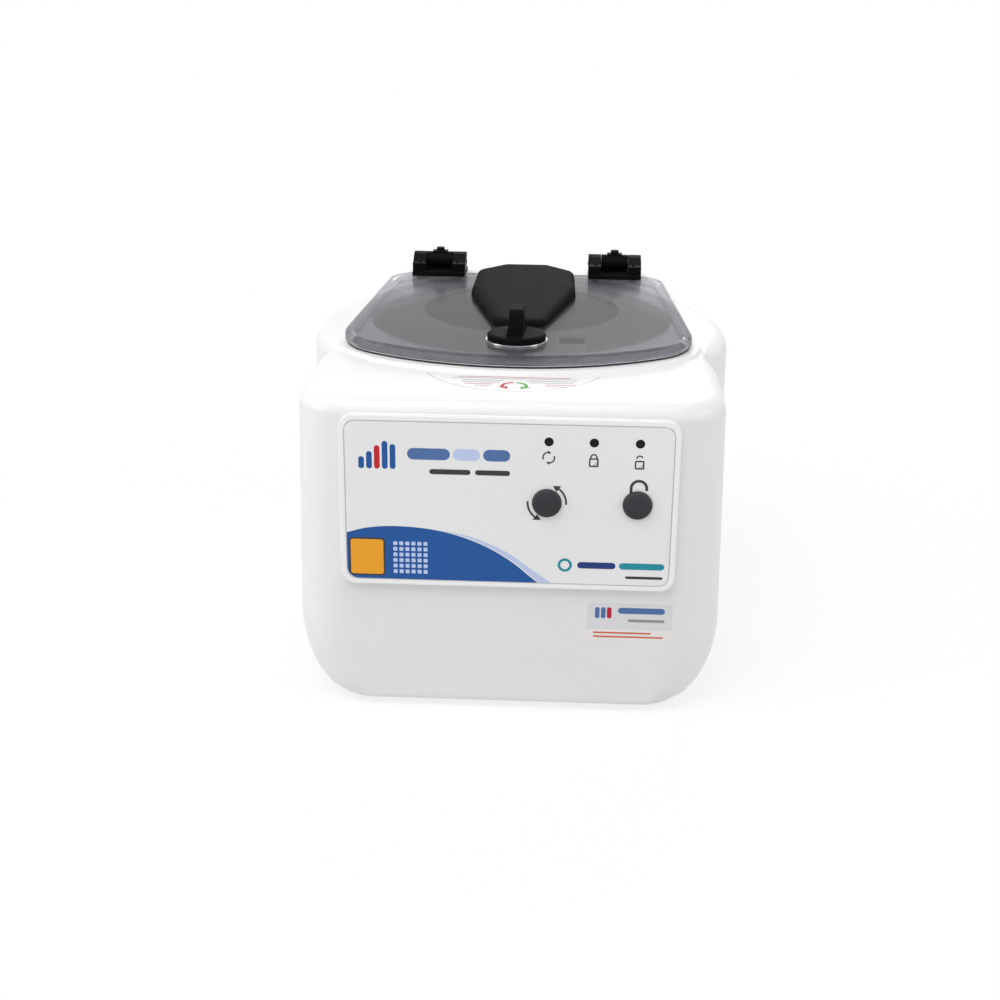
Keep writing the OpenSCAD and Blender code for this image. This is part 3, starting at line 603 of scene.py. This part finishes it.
class CENTRIFUGE_OT_panel(bpy.types.Operator):
    """Finishes the raised bezel, its printed skin, the indicator windows and the circuit board"""
    bl_idname = "centrifuge.panel"
    bl_label = "Panel"

    def execute(self, context):
        body, look = context.scene.centrifuge_body, context.scene.centrifuge_panel
        bezel = moulded("bezel_white", body.bezel_colour, low=0.3, high=0.4, grain=1500.0, bump=0.1,
                        shade=0.99)
        skin = moulded("skin_film", look.skin_colour, low=0.38, high=0.46, grain=1900.0, bump=0.18,
                       shade=0.985)
        window = moulded("window_dark", (0.008, 0.008, 0.009), low=0.12, high=0.2, grain=500.0, bump=0.02,
                         shade=0.9, Specular_IOR_Level=0.15)
        board = moulded("board_green", (0.02, 0.16, 0.06), low=0.3, high=0.45, grain=700.0, bump=0.2,
                        shade=0.8)
        dress_all([("panel_bezel", bezel, 0.45), ("panel_skin", skin, 0.0),
                   ("indicator_windows", window, 0.2), ("circuit_board", board, 0.0)])
        return {"FINISHED"}


class CENTRIFUGE_OT_buttons(bpy.types.Operator):
    """Finishes the two domed push buttons"""
    bl_idname = "centrifuge.buttons"
    bl_label = "Buttons"

    def execute(self, context):
        dome = moulded("button_grey", (0.044, 0.045, 0.050), low=0.38, high=0.48, grain=2200.0, bump=0.25,
                       shade=0.9, Specular_IOR_Level=0.12)
        for node in ("start_button", "unlock_button"):
            dress(node, dome, angle=50)
        return {"FINISHED"}


# Panel print, in millimetres across (x) and up (z)
SKIN_CORNER = 6.2
RIM_LINE = (0.05, 0.5)          # outer and inner distance of the fine rim from the skin's edge
FIELD_CORNER = 7.2
FIELD_CREST = [(-90, 129.3), (-72, 130.8), (-50, 129.2), (-30, 124.6), (-12, 117.2), (3, 107.9), (13.5, 99.2)]
FIELD_LEFT, FIELD_FOOT = 125.6, 19.6
BAND_TOP, BAND_TOP_FOOT = [(-52, 129.7), (-26, 125.3), (-3, 116.1), (14, 104.4)], 28.4
BAND_LOW, BAND_LOW_FOOT = [(-52, 129.5), (-30, 125.3), (-11.4, 117.6), (3.8, 108.3), (14.4, 99.5)], 20.8
TILE_RIM = (-102.3, 96.1, -78.9, 122.4, 2.4)
TILE = (-101.2, 97.2, -80.0, 121.3, 1.6)
DOT_LEFT, DOT_FOOT, DOT_SIZE, DOT_STEP, DOT_CORNER, DOTS = -73.6, 98.2, 2.6, 3.9, 0.6, 6
BAR_LEFT, BAR_FOOT, BAR_WIDTH, BAR_STEP, BAR_CORNER = -95, 169.5, 3.6, 5.0, 1.7
BAR_TOPS = (177.5, 181.0, 185.0, 188.0, 186.0)
WIDE_ROW, THIN_ROW, LOWER_ROW, LAST_ROW = (180, 7.6), (168.4, 3.4), (107.2, 4.4), (99.4, 1.8)
RING_PLACE, RING_OUTER, RING_INNER = (37, 107), 4.6, 2.9


class CENTRIFUGE_OT_print(bpy.types.Operator):
    """Lays the printed field, tile, dots, bars, pills and symbols on the panel skin"""
    bl_idname = "centrifuge.print"
    bl_label = "Panel Print"

    def execute(self, context):
        look = context.scene.centrifuge_panel
        ink = printed("ink_dark", look.ink_colour)
        field = printed("ink_field", look.field_colour)
        pale = printed("ink_band", look.band_colour)
        self.field_side(look, ink, field, pale)
        self.motif(look, ink, field, pale)
        start, unlock = (centre_of(node) / MM for node in ("start_button", "unlock_button"))
        self.button_symbols(ink, start, unlock)
        self.lamp_symbols(ink, start, unlock, look.stroke / MM)
        return {"FINISHED"}

    def field_side(self, look, ink, field, pale):
        """The rim, the curved field with its band, the tile and the grid of dots."""
        low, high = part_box("panel_skin")
        x0, z0, x1, z1 = low.x / MM, low.z / MM, high.x / MM, high.z / MM
        inset = RIM_LINE[1]
        rim = [round_rect(x0 + i, z0 + i, x1 - i, z1 - i, SKIN_CORNER - i) for i in RIM_LINE]
        on_panel("print_edge", rim, printed("ink_edge", (0.50, 0.50, 0.51)), lift=0.03)
        middle = inset + FIELD_CORNER
        corner = arc_points(x0 + middle, z0 + middle, FIELD_CORNER, 180, 270, 10)
        crest = smooth_curve([(x0 + inset, FIELD_LEFT)] + FIELD_CREST + [(FIELD_FOOT, z0 + inset)])
        on_panel("print_field", [corner + crest[::-1]], field, lift=0.06)
        top = smooth_curve(BAND_TOP + [(BAND_TOP_FOOT, z0 + inset)])
        under = smooth_curve(BAND_LOW + [(BAND_LOW_FOOT, z0 + inset)])
        on_panel("print_band", [under + top[::-1]], pale)
        on_panel("print_tile_rim", [round_rect(*TILE_RIM)], ink, lift=0.09)
        on_panel("print_tile", [round_rect(*TILE)], printed("ink_tile", look.tile_colour), lift=0.12)
        dots = []
        for i in range(DOTS):
            for k in range(DOTS):
                x, z = DOT_LEFT + DOT_STEP * i, DOT_FOOT + DOT_STEP * k
                dots.append(round_rect(x, z, x + DOT_SIZE, z + DOT_SIZE, DOT_CORNER))
        on_panel("print_dots", dots, pale, lift=0.09)

    def motif(self, look, ink, field, pale):
        """Plain bars, pills and a ring."""
        slate, teal = printed("ink_slate", look.slate_colour), printed("ink_teal", look.teal_colour)
        bars = []
        for i, top in enumerate(BAR_TOPS):
            x = BAR_LEFT + BAR_STEP * i
            bars.append(round_rect(x, BAR_FOOT, x + BAR_WIDTH, top, BAR_CORNER))
        ring = [circle(*RING_PLACE, r) for r in (RING_OUTER, RING_INNER)]
        for name, loops, material in (
            ("print_bars", bars[:2] + bars[3:], field),
            ("print_bar_accent", [bars[2]], printed("ink_accent", look.accent_colour)),
            ("print_pills_wide", pills(WIDE_ROW, (-64, 27), (-16, 17)), slate),
            ("print_pill_pale", pills(WIDE_ROW, (-35, 17)), pale),
            ("print_pills_thin", pills(THIN_ROW, (-50, 26), (-21, 22)), ink),
            ("print_ring", ring, teal),
            ("print_pill_navy", pills(LOWER_ROW, (45, 24.5)), printed("ink_navy", look.navy_colour)),
            ("print_pill_teal", pills(LOWER_ROW, (71.8, 29)), teal),
            ("print_pill_small", pills(LAST_ROW, (76, 24)), ink),
        ):
            on_panel(name, loops, material)

    def button_symbols(self, ink, start, unlock):
        """Two arrows round the start button and a shackle over the unlock button."""
        radius, sweep, width, head = 12.2, 77, 1.25, 4.4
        arrows = [arrow_band(start.x, start.z, radius, a, a + sweep, width, head) for a in (-4, 176)]
        on_panel("symbol_turn", arrows, ink)
        x, z = unlock.x + 0.4, unlock.z + 11.4
        inner, outer, leg = 4.0, 5.8, z - 1.6
        shackle = (
            [(x + inner, leg)] + arc_points(x, z, inner, 0, 180)
            + [(x - inner, z - 3.5), (x - outer, z - 5.2)] + arc_points(x, z, outer, 180, 0)
            + [(x + outer, leg)]
        )
        on_panel("symbol_shackle", [shackle], ink)

    def lamp_symbols(self, ink, start, unlock, w):
        """A cycle, a closed lock and an open lock under the indicator windows."""
        window_r, drop = 2.9, 10.4
        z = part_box("indicator_windows")[0].z / MM + window_r - drop
        lamps = [start.x + 0.6, (start.x + unlock.x) / 2 + 0.2, unlock.x + 0.2]
        cycle = [arrow_band(lamps[0], z, 3.6, a, a - 138, w, 2.2) for a in (200, 20)]
        on_panel("symbol_cycle", cycle, ink)
        half, tall, bow_r = 3, 2.9, 1.9
        for k, x in enumerate(lamps[1:]):
            middle = z - 2.6 - 0.9 * k
            foot, top = middle - tall, middle + tall
            body = [round_rect(x - half, foot, x + half, top, 0.8),
                    round_rect(x - half + w, foot + w, x + half - w, top - w, 0.5)]
            on_panel("symbol_lock_body_%d" % k, body, ink)
            start_angle, end_angle = ((-14, 194), (24, 180))[k]
            bow = band(x, top + 0.5 + 0.7 * k, bow_r, start_angle, end_angle, w)
            on_panel("symbol_lock_bow_%d" % k, [bow], ink)
            right, line = x + half - w, 0.4
            strips = [[(x + a, foot + w), (x + a + line, foot + w), (right, middle + 0.1 - a),
                       (right, middle - 0.3 - a)] for a in (-0.6, 0.5, 1.5)]
            on_panel("symbol_lock_hatch_%d" % k, strips, ink)


# Labels, in millimetres: across and up on the front, across and deep before the lid
LABEL_LEFT, LABEL_RIGHT, LABEL_CORNER = 52.6, 108.0, 1.0
LABEL_COLUMNS = (98, 100, 102, 103.5, 105, 106, 107)    # cuts that let it follow the rounded corner
LABEL_BARS, LABEL_PILL, LABEL_THIN = (72.4, 8.0), (74.2, 4.2), (67.2, 1.9)
RULE = 0.9
ARROW = {"width": 2.1, "head": 6.2}


class CENTRIFUGE_OT_labels(bpy.types.Operator):
    """Lays the bare labels on the lower front and in front of the lid"""
    bl_idname = "centrifuge.labels"
    bl_label = "Labels"

    def execute(self, context):
        look = context.scene.centrifuge_panel
        line, red = printed("ink_line", (0.30, 0.30, 0.31)), printed("ink_red", (0.50, 0.02, 0.045))
        self.front_label(printed("ink_slate", look.slate_colour), line, red)
        self.top_label(line, red)
        return {"FINISHED"}

    def front_label(self, slate, line, red):
        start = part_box("cabinet")[0].y - 5 * MM
        for name, low, high, material in (
            ("label_lower", 60.4, 79.2, printed("label_pale", (0.74, 0.74, 0.755))),
            ("label_lower_band", 53.2, 60.4, printed("label_warm", (0.86, 0.82, 0.80))),
        ):
            sheet = [round_rect(LABEL_LEFT, low, LABEL_RIGHT, high, LABEL_CORNER)]
            on_body(name, sheet, material, "Y", start, cuts=LABEL_COLUMNS)
        rules = pills((58.2, 1.2), (56.5, 38)) + pills((55.4, 1.2), (56.5, 46))
        for name, loops, material in (
            ("label_bars", pills(LABEL_BARS, (57.5, 3.0), (61.4, 3.0)), slate),
            ("label_bar_accent", pills(LABEL_BARS, (65.3, 3.0)), red),
            ("label_pill", pills(LABEL_PILL, (72.5, 30.5)), slate),
            ("label_pill_thin", pills(LABEL_THIN, (79, 24)), line),
            ("label_rules", rules, printed("ink_rust", (0.62, 0.16, 0.075))),
        ):
            on_body(name, loops, material, "Y", start, lift=0.1)

    def top_label(self, line, red):
        start = top_face() + 5 * MM
        red_rules = (pills((-118.2, RULE), (-36, 74)) + pills((-134.6, RULE), (-31, 19), (21, 21))
                     + pills((-138.6, RULE), (-24, 10), (22, 13)))
        grey_rules = (pills((-121.4, RULE), (-40, 83)) + pills((-126.2, RULE), (-33, 27), (9, 33))
                      + pills((-130.4, RULE), (-33, 25), (11, 29)))
        for name, loops, material in (
            ("label_outline", [band(0, -88.5, 62, 203, 337, 0.4)], line),
            ("label_rules_red", red_rules, red),
            ("label_rules_grey", grey_rules, line),
            ("symbol_left", [arrow_band(1.2, -138.5, 7.6, 95, 240, **ARROW)], red),
            ("symbol_right", [arrow_band(1.8, -138.5, 7.6, 85, -60, **ARROW)],
             printed("ink_green", (0.06, 0.36, 0.03))),
        ):
            on_body(name, loops, material, "Z", start)


# Lid, latch and hinges

DISC_RADIUS = 0.072
ROUND_FIELD = 0.953     # radius of the darker round field over half the lid's width
DISC_BLUR, FIELD_BLUR = 0.0002, 0.0015
CORNER_LIGHT_FADE = 0.03        # depth over which the pale corners, painted light of the white deck seen through the lid, come in behind the spin axis
HIGHLIGHT_BEAD_HEIGHT = 1.3       # millimetres over the seat for the painted highlight bead, as the fin's sizes below
FIN_FOOT, FIN_ROUNDING, FIN_STEPS = 13, 1.8, 5      # depth below the top, radius and steps


def lid_group(look):
    """Frosted plastic: a warm disc in a darker round field, pale rear corners that are painted light of the
    white deck seen through the lid, and a haze in the gloss.
    """
    made, start, end = new_group(
        "frosted_painted_corner_light",
        [("Corner", COLOUR, rgba(look.corner_painted_light_colour)), ("Light", COLOUR, rgba(look.frost_colour)),
         ("Shade", COLOUR, rgba(look.disc_colour)), ("Disc Radius", NUMBER, DISC_RADIUS),
         ("Roughness Low", NUMBER, 0.2), ("Roughness High", NUMBER, 0.3)],
    )
    if start:
        place = add(made, "ShaderNodeTexCoord").outputs["Object"]
        shift = from_spin_axis(made, place)
        shift.inputs["Scale"].default_value = (1, 1, 0)
        far = add(made, "ShaderNodeVectorMath", operation="LENGTH")
        made.links.new(shift.outputs["Vector"], far.inputs[0])
        out = add(made, "ShaderNodeMath", operation="SUBTRACT")
        made.links.new(far.outputs["Value"], out.inputs[0])
        made.links.new(start.outputs["Disc Radius"], out.inputs[1])
        zone = ramp(made, out.outputs[0], -DISC_BLUR, DISC_BLUR)
        reach = ROUND_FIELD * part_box("lid")[1].x
        rim = ramp(made, far.outputs["Value"], reach - FIELD_BLUR, reach + FIELD_BLUR)
        parts = add(made, "ShaderNodeSeparateXYZ")
        made.links.new(shift.outputs["Vector"], parts.inputs[0])
        # pale rear corners: painted light of the white deck seen through the lid
        corner_light_share = add(made, "ShaderNodeMath", operation="MULTIPLY")
        made.links.new(ramp(made, parts.outputs["Y"], 0.0, CORNER_LIGHT_FADE), corner_light_share.inputs[0])
        made.links.new(rim, corner_light_share.inputs[1])
        outer = tint(made, corner_light_share.outputs[0], start.outputs["Light"], start.outputs["Corner"])
        haze = noise(made, place, scale=70.0, detail=4.0, rough=0.6)
        grain = noise(made, place, scale=1400.0)
        join(made, start, end, tint(made, zone, start.outputs["Shade"], outer), haze, grain)
    return made


def frosted(look):
    """The lid's own material, part clear and part milky."""
    return finish_material(
        "lid_frosted", lid_group(look),
        # the corner colour is painted light of the white deck seen through the lid
        {"Corner": rgba(look.corner_painted_light_colour), "Light": rgba(look.frost_colour),
         "Shade": rgba(look.disc_colour), "Disc Radius": DISC_RADIUS,
         "Roughness Low": 0.13, "Roughness High": 0.19},
        bump=0.15, Transmission_Weight=look.clarity, IOR=1.12, Specular_IOR_Level=0.3)


def dark_plastic(name, low, high, grain, bump, shade):
    """The black of the cover, knob and hinges, each with its own gloss."""
    black = bpy.context.scene.centrifuge_lid.black_colour
    return moulded(name, black, low, high, grain, bump, shade, Specular_IOR_Level=0.02)


class CENTRIFUGE_OT_lid(bpy.types.Operator):
    """Finishes the frosted lid, its dark seal with a pale bead of painted highlight, and the domed black
    cover
    """
    bl_idname = "centrifuge.lid"
    bl_label = "Lid"

    def execute(self, context):
        dress("lid", frosted(context.scene.centrifuge_lid), angle=30, flats=False)
        # the pale bead is a painted highlight of the lid's polished lower edge
        self.seal(seal_rubber(), moulded("bead_painted_highlight", (0.86, 0.86, 0.86), low=0.4, high=0.5, grain=1500.0,
                                         bump=0.1, shade=0.97))
        cover = dark_plastic("cover_black", low=0.58, high=0.62, grain=1100.0, bump=0.3, shade=0.97)
        dress("lid_cover", cover, angle=60, flats=False)
        return {"FINISHED"}

    def seal(self, rubber, pale):
        """Splits the seal at one height into a dark foot and a pale bead under the lid rim, a painted
        highlight of the lid's lower edge.
        """
        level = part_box("seat_seal")[0].z + HIGHLIGHT_BEAD_HEIGHT * MM

        def keep(above):
            """A cut that keeps the part above or below the level and closes it with a flat ring."""
            def cut(piece):
                only(piece)
                bpy.ops.object.mode_set(mode="EDIT")
                bpy.ops.mesh.select_all(action="SELECT")
                bpy.ops.mesh.bisect(plane_co=(0, 0, level), plane_no=(0, 0, 1), clear_inner=above,
                                    clear_outer=not above)
                bpy.ops.mesh.select_all(action="DESELECT")
                bpy.ops.mesh.select_mode(type="EDGE")
                bpy.ops.mesh.select_non_manifold()
                bpy.ops.mesh.bridge_edge_loops()
                bpy.ops.mesh.select_mode(type="VERT")
                bpy.ops.object.mode_set(mode="OBJECT")
            return cut

        dress("seat_seal", rubber, angle=30, flats=False, shape=keep(False))
        # the pale bead above the level is a painted highlight of the lid's lower edge
        highlight_bead = copy_of("seat_seal", "seat_seal_painted_highlight", flats=False)
        keep(True)(highlight_bead)
        bpy.ops.object.shade_smooth_by_angle(angle=math.radians(30))
        paint(highlight_bead, pale)
        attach(highlight_bead, "cabinet")


def round_fin(piece):
    """Rounds the long edges of the knob's fin."""
    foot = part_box("latch_knob")[1].z - FIN_FOOT * MM
    only(piece)
    bpy.ops.object.mode_set(mode="EDIT")
    bpy.ops.mesh.select_mode(type="EDGE")
    bpy.ops.mesh.select_all(action="DESELECT")
    bpy.ops.mesh.edges_select_sharp(sharpness=math.radians(40))
    bpy.ops.object.mode_set(mode="OBJECT")
    for edge in piece.data.edges:
        first, second = (piece.data.vertices[v].co for v in edge.vertices)
        along = abs(first.x - second.x) < 0.01 * MM
        edge.select = edge.select and along and max(first.z, second.z) > foot
    bpy.ops.object.mode_set(mode="EDIT")
    bpy.ops.mesh.bevel(offset=FIN_ROUNDING * MM, segments=FIN_STEPS, affect="EDGES", clamp_overlap=False)
    bpy.ops.mesh.select_mode(type="VERT")
    bpy.ops.object.mode_set(mode="OBJECT")


class CENTRIFUGE_OT_latch(bpy.types.Operator):
    """Finishes the turn knob, its ring, shaft and cam, and the lock"""
    bl_idname = "centrifuge.latch"
    bl_label = "Latch and Lock"

    def execute(self, context):
        black = dark_plastic("knob_black", low=0.5, high=0.62, grain=1500.0, bump=0.4, shade=0.85)
        bright = brushed("ring_bright", (0.80, 0.80, 0.82), low=0.15, high=0.25)
        dark = brushed("steel_black", (0.24, 0.24, 0.245), low=0.4, high=0.55)
        steel = plain_steel()
        coil = moulded("coil_grey", (0.10, 0.10, 0.11), low=0.4, high=0.55, grain=900.0, bump=0.2, shade=0.85)
        dress("latch_knob", black, bevel=0.6, shape=round_fin)
        dress_all([
            ("knob_ring", bright, 0.2), ("latch_shaft", steel, 0.2),
            ("latch_cam", steel, 0.3), ("strike_plate", steel, 0.3),
            ("lock_tongue", dark, 0.3), ("lock_solenoid", coil, 0.5), ("lock_bolt", steel, 0.2),
        ])
        return {"FINISHED"}


class CENTRIFUGE_OT_hinges(bpy.types.Operator):
    """Finishes both hinges with their pins and screws"""
    bl_idname = "centrifuge.hinges"
    bl_label = "Hinges"

    def execute(self, context):
        black = dark_plastic("hinge_black", low=0.3, high=0.42, grain=1500.0, bump=0.3, shade=0.85)
        screw = brushed("screw_black", (0.05, 0.05, 0.05), low=0.3, high=0.45)
        dress_all([
            ("hinge_lid_leaves", black, 0.5), ("hinge_base_leaves", black, 0.5),
            ("hinge_pins", plain_steel(), 0.3),
            ("lid_leaf_screws", screw, 0.2), ("base_leaf_screws", screw, 0.2),
        ])
        return {"FINISHED"}


# Chamber, drive and rotor

class CENTRIFUGE_OT_chamber(bpy.types.Operator):
    """Finishes the spun bowl with its seal and posts"""
    bl_idname = "centrifuge.chamber"
    bl_label = "Spin Chamber"

    def execute(self, context):
        bowl = turned("bowl_spun", (0.075, 0.075, 0.08), low=0.32, high=0.5, bump=0.2, rings=700.0)
        dress_all([("chamber_bowl", bowl, 0.0), ("bowl_pan", bowl, 0.0), ("bowl_seal", seal_rubber(), 0.0),
                   ("bowl_posts", zinc_plate(), 0.3)])
        return {"FINISHED"}


class CENTRIFUGE_OT_drive(bpy.types.Operator):
    """Finishes the motor, its plate, isolators and boot"""
    bl_idname = "centrifuge.drive"
    bl_label = "Drive"

    def execute(self, context):
        motor = turned("motor_grey", (0.16, 0.16, 0.17), low=0.35, high=0.5, bump=0.15, rings=500.0)
        rubber = foot_rubber()
        dress_all([("motor", motor, 0.4), ("motor_isolators", rubber, 0.0),
                   ("motor_plate", zinc_plate(), 0.3), ("shaft_boot", rubber, 0.0)])
        return {"FINISHED"}


class CENTRIFUGE_OT_rotor(bpy.types.Operator):
    """Finishes the rotor, its shaft, nut and the six tube holders"""
    bl_idname = "centrifuge.rotor"
    bl_label = "Rotor and Holders"

    def execute(self, context):
        alloy = turned("rotor_alloy", (0.55, 0.56, 0.58), low=0.25, high=0.4, bump=0.12, rings=900.0)
        nut = moulded("nut_black", (0.015, 0.015, 0.016), low=0.35, high=0.5, grain=1500.0, bump=0.4,
                      shade=0.85)
        holder = brushed("holder_alloy", (0.70, 0.71, 0.73), low=0.22, high=0.36)
        dress_all([("rotor", alloy, 0.5), ("rotor_shaft", plain_steel(), 0.3), ("rotor_nut", nut, 0.4)])
        dress_all([("tube_holder_%d" % k, holder, 0.25) for k in range(1, 7)])
        return {"FINISHED"}


# Stage: places in metres, angles in degrees

FLOOR_SIZE, FLOOR_PLACE = 8, (0, 1.5, 0)
FLOOR_FADE = (0.22, 0.55)       # distances at which the floor's shadow starts and ends its fade
FLOOR_BOUNCE, FLOOR_SEEN = 0.72, 0.9
AIM, REAR_AIM = (0, 0, 0.12), (0, 0.1, 0.2)
KEY_SIZE, FILL_SIZE = 1.5, 1.0
CAMERA_PLACE = (0.0368, -1.0959, 0.4916)
CAMERA_PITCH, CAMERA_YAW, CAMERA_ROLL = 20.38, -2.616, 0.588
SENSOR_WIDTH, NEAR, FAR = 36, 0.01, 30


def grey(level):
    return (level, level, level, 1)


class CENTRIFUGE_OT_stage(bpy.types.Operator):
    """Sets the floor, the soft lamps, the surroundings and the camera"""
    bl_idname = "centrifuge.stage"
    bl_label = "Stage"

    def execute(self, context):
        look = context.scene.centrifuge_stage
        scene = context.scene
        scene.view_settings.view_transform = "Standard"
        bpy.ops.object.select_all(action="DESELECT")
        bpy.ops.mesh.primitive_plane_add(size=FLOOR_SIZE, location=FLOOR_PLACE)
        floor = context.active_object
        floor.name = "floor"
        settle(floor)
        paint(floor, self.floor_white())
        self.surroundings(scene, look.sky)
        self.lamp("key_lamp", (-0.45, -0.75, 1.75), AIM, KEY_SIZE, look.key)
        self.lamp("left_lamp", (-1.7, -0.5, 0.7), AIM, FILL_SIZE, look.fill)
        self.lamp("right_lamp", (1.7, -0.6, 0.8), AIM, FILL_SIZE, look.fill)
        self.lamp("rear_lamp", (0.2, 1.5, 1.3), REAR_AIM, FILL_SIZE, look.fill)
        self.camera(scene, look.lens)
        return {"FINISHED"}

    def floor_white(self):
        """Matt white that keeps the object's shadow and fades to plain white away from it."""
        made = bpy.data.materials.new("floor_white")
        made.use_nodes = True
        tree = made.node_tree
        tree.nodes.clear()
        matt = add(tree, "ShaderNodeBsdfDiffuse")
        glow = add(tree, "ShaderNodeEmission")
        place = add(tree, "ShaderNodeTexCoord").outputs["Object"]
        far = add(tree, "ShaderNodeVectorMath", operation="LENGTH")
        tree.links.new(place, far.inputs[0])
        fade = ramp(tree, far.outputs["Value"], *FLOOR_FADE, 0.8, 1.0)
        path = add(tree, "ShaderNodeLightPath")
        seen = self.seen(tree, path)
        tree.links.new(tint(tree, seen, grey(FLOOR_BOUNCE), grey(FLOOR_SEEN)), matt.inputs["Color"])
        share = add(tree, "ShaderNodeMath", operation="MULTIPLY")
        tree.links.new(seen, share.inputs[0])
        tree.links.new(fade, share.inputs[1])
        mix = add(tree, "ShaderNodeMixShader")
        end = add(tree, "ShaderNodeOutputMaterial")
        tree.links.new(share.outputs[0], mix.inputs[0])
        tree.links.new(matt.outputs[0], mix.inputs[1])
        tree.links.new(glow.outputs[0], mix.inputs[2])
        tree.links.new(mix.outputs[0], end.inputs["Surface"])
        return made

    def seen(self, tree, path):
        """One for rays of the camera, of mirrors and of glass."""
        first = add(tree, "ShaderNodeMath", operation="MAXIMUM")
        tree.links.new(path.outputs["Is Camera Ray"], first.inputs[0])
        tree.links.new(path.outputs["Is Glossy Ray"], first.inputs[1])
        both = add(tree, "ShaderNodeMath", operation="MAXIMUM")
        tree.links.new(first.outputs[0], both.inputs[0])
        tree.links.new(path.outputs["Is Transmission Ray"], both.inputs[1])
        return both.outputs[0]

    def surroundings(self, scene, level):
        """Soft white light on the object, plain white for the camera, mirrors and glass."""
        world = bpy.data.worlds.new("white_surroundings")
        scene.world = world
        world.use_nodes = True
        tree = world.node_tree
        tree.nodes.clear()
        soft, plain = add(tree, "ShaderNodeBackground"), add(tree, "ShaderNodeBackground")
        for light, strength in ((soft, level), (plain, 1.0)):
            light.inputs["Color"].default_value = grey(1)
            light.inputs["Strength"].default_value = strength
        path = add(tree, "ShaderNodeLightPath")
        mix = add(tree, "ShaderNodeMixShader")
        end = add(tree, "ShaderNodeOutputWorld")
        tree.links.new(self.seen(tree, path), mix.inputs[0])
        tree.links.new(soft.outputs[0], mix.inputs[1])
        tree.links.new(plain.outputs[0], mix.inputs[2])
        tree.links.new(mix.outputs[0], end.inputs["Surface"])

    def lamp(self, name, place, target, size, power):
        """A round area lamp that looks at its target."""
        data = bpy.data.lights.new(name, "AREA")
        data.shape = "DISK"
        data.size = size
        data.energy = power
        lamp = bpy.data.objects.new(name, data)
        bpy.context.scene.collection.objects.link(lamp)
        lamp.location = place
        lamp.rotation_euler = (Vector(target) - Vector(place)).to_track_quat("-Z", "Y").to_euler()

    def camera(self, scene, lens):
        """The photograph's view, turned by pitch and yaw and then rolled about the line of sight."""
        pitch, yaw, roll = (math.radians(a) for a in (CAMERA_PITCH, CAMERA_YAW, CAMERA_ROLL))
        ahead = Vector((math.sin(yaw) * math.cos(pitch), math.cos(yaw) * math.cos(pitch), -math.sin(pitch)))
        right = Vector((math.cos(yaw), -math.sin(yaw), 0))
        up = right.cross(ahead)
        side = right * math.cos(roll) + up * math.sin(roll)
        top = up * math.cos(roll) - right * math.sin(roll)
        data = bpy.data.cameras.new("camera")
        data.lens = lens
        data.sensor_width = SENSOR_WIDTH
        data.clip_start, data.clip_end = NEAR, FAR
        camera = bpy.data.objects.new("camera", data)
        scene.collection.objects.link(camera)
        turn = Matrix((side, top, -ahead)).transposed().to_4x4()
        camera.matrix_world = Matrix.Translation(CAMERA_PLACE) @ turn
        scene.camera = camera


ORDER = ["stage", "cabinet", "base", "inlet", "panel", "buttons", "print", "labels", "lid", "latch", "hinges",
         "chamber", "drive", "rotor"]


class CENTRIFUGE_PT_pieces(bpy.types.Panel):
    """Lists the pieces of the centrifuge"""
    bl_idname = "CENTRIFUGE_PT_pieces"
    bl_label = "Centrifuge"
    bl_space_type = "VIEW_3D"
    bl_region_type = "UI"
    bl_category = "Centrifuge"

    def draw(self, context):
        scene = context.scene
        for group in (scene.centrifuge_body, scene.centrifuge_panel, scene.centrifuge_lid,
                      scene.centrifuge_stage):
            box = self.layout.box()
            for name in group.__annotations__:
                box.prop(group, name)
        for name in ORDER:
            self.layout.operator("centrifuge." + name)


CLASSES = (
    CENTRIFUGE_PG_body, CENTRIFUGE_PG_panel, CENTRIFUGE_PG_lid, CENTRIFUGE_PG_stage,
    CENTRIFUGE_OT_stage, CENTRIFUGE_OT_cabinet, CENTRIFUGE_OT_base, CENTRIFUGE_OT_inlet, CENTRIFUGE_OT_panel,
    CENTRIFUGE_OT_buttons, CENTRIFUGE_OT_print, CENTRIFUGE_OT_labels, CENTRIFUGE_OT_lid, CENTRIFUGE_OT_latch,
    CENTRIFUGE_OT_hinges, CENTRIFUGE_OT_chamber, CENTRIFUGE_OT_drive, CENTRIFUGE_OT_rotor,
    CENTRIFUGE_PT_pieces,
)


def register():
    for item in CLASSES:
        bpy.utils.register_class(item)
    bpy.types.Scene.centrifuge_body = PointerProperty(type=CENTRIFUGE_PG_body)
    bpy.types.Scene.centrifuge_panel = PointerProperty(type=CENTRIFUGE_PG_panel)
    bpy.types.Scene.centrifuge_lid = PointerProperty(type=CENTRIFUGE_PG_lid)
    bpy.types.Scene.centrifuge_stage = PointerProperty(type=CENTRIFUGE_PG_stage)


def unregister():
    for name in ("centrifuge_stage", "centrifuge_lid", "centrifuge_panel", "centrifuge_body"):
        delattr(bpy.types.Scene, name)
    for item in reversed(CLASSES):
        bpy.utils.unregister_class(item)


def main():
    register()
    for name in ORDER:
        getattr(bpy.ops.centrifuge, name)()


if __name__ == "__main__":
    main()
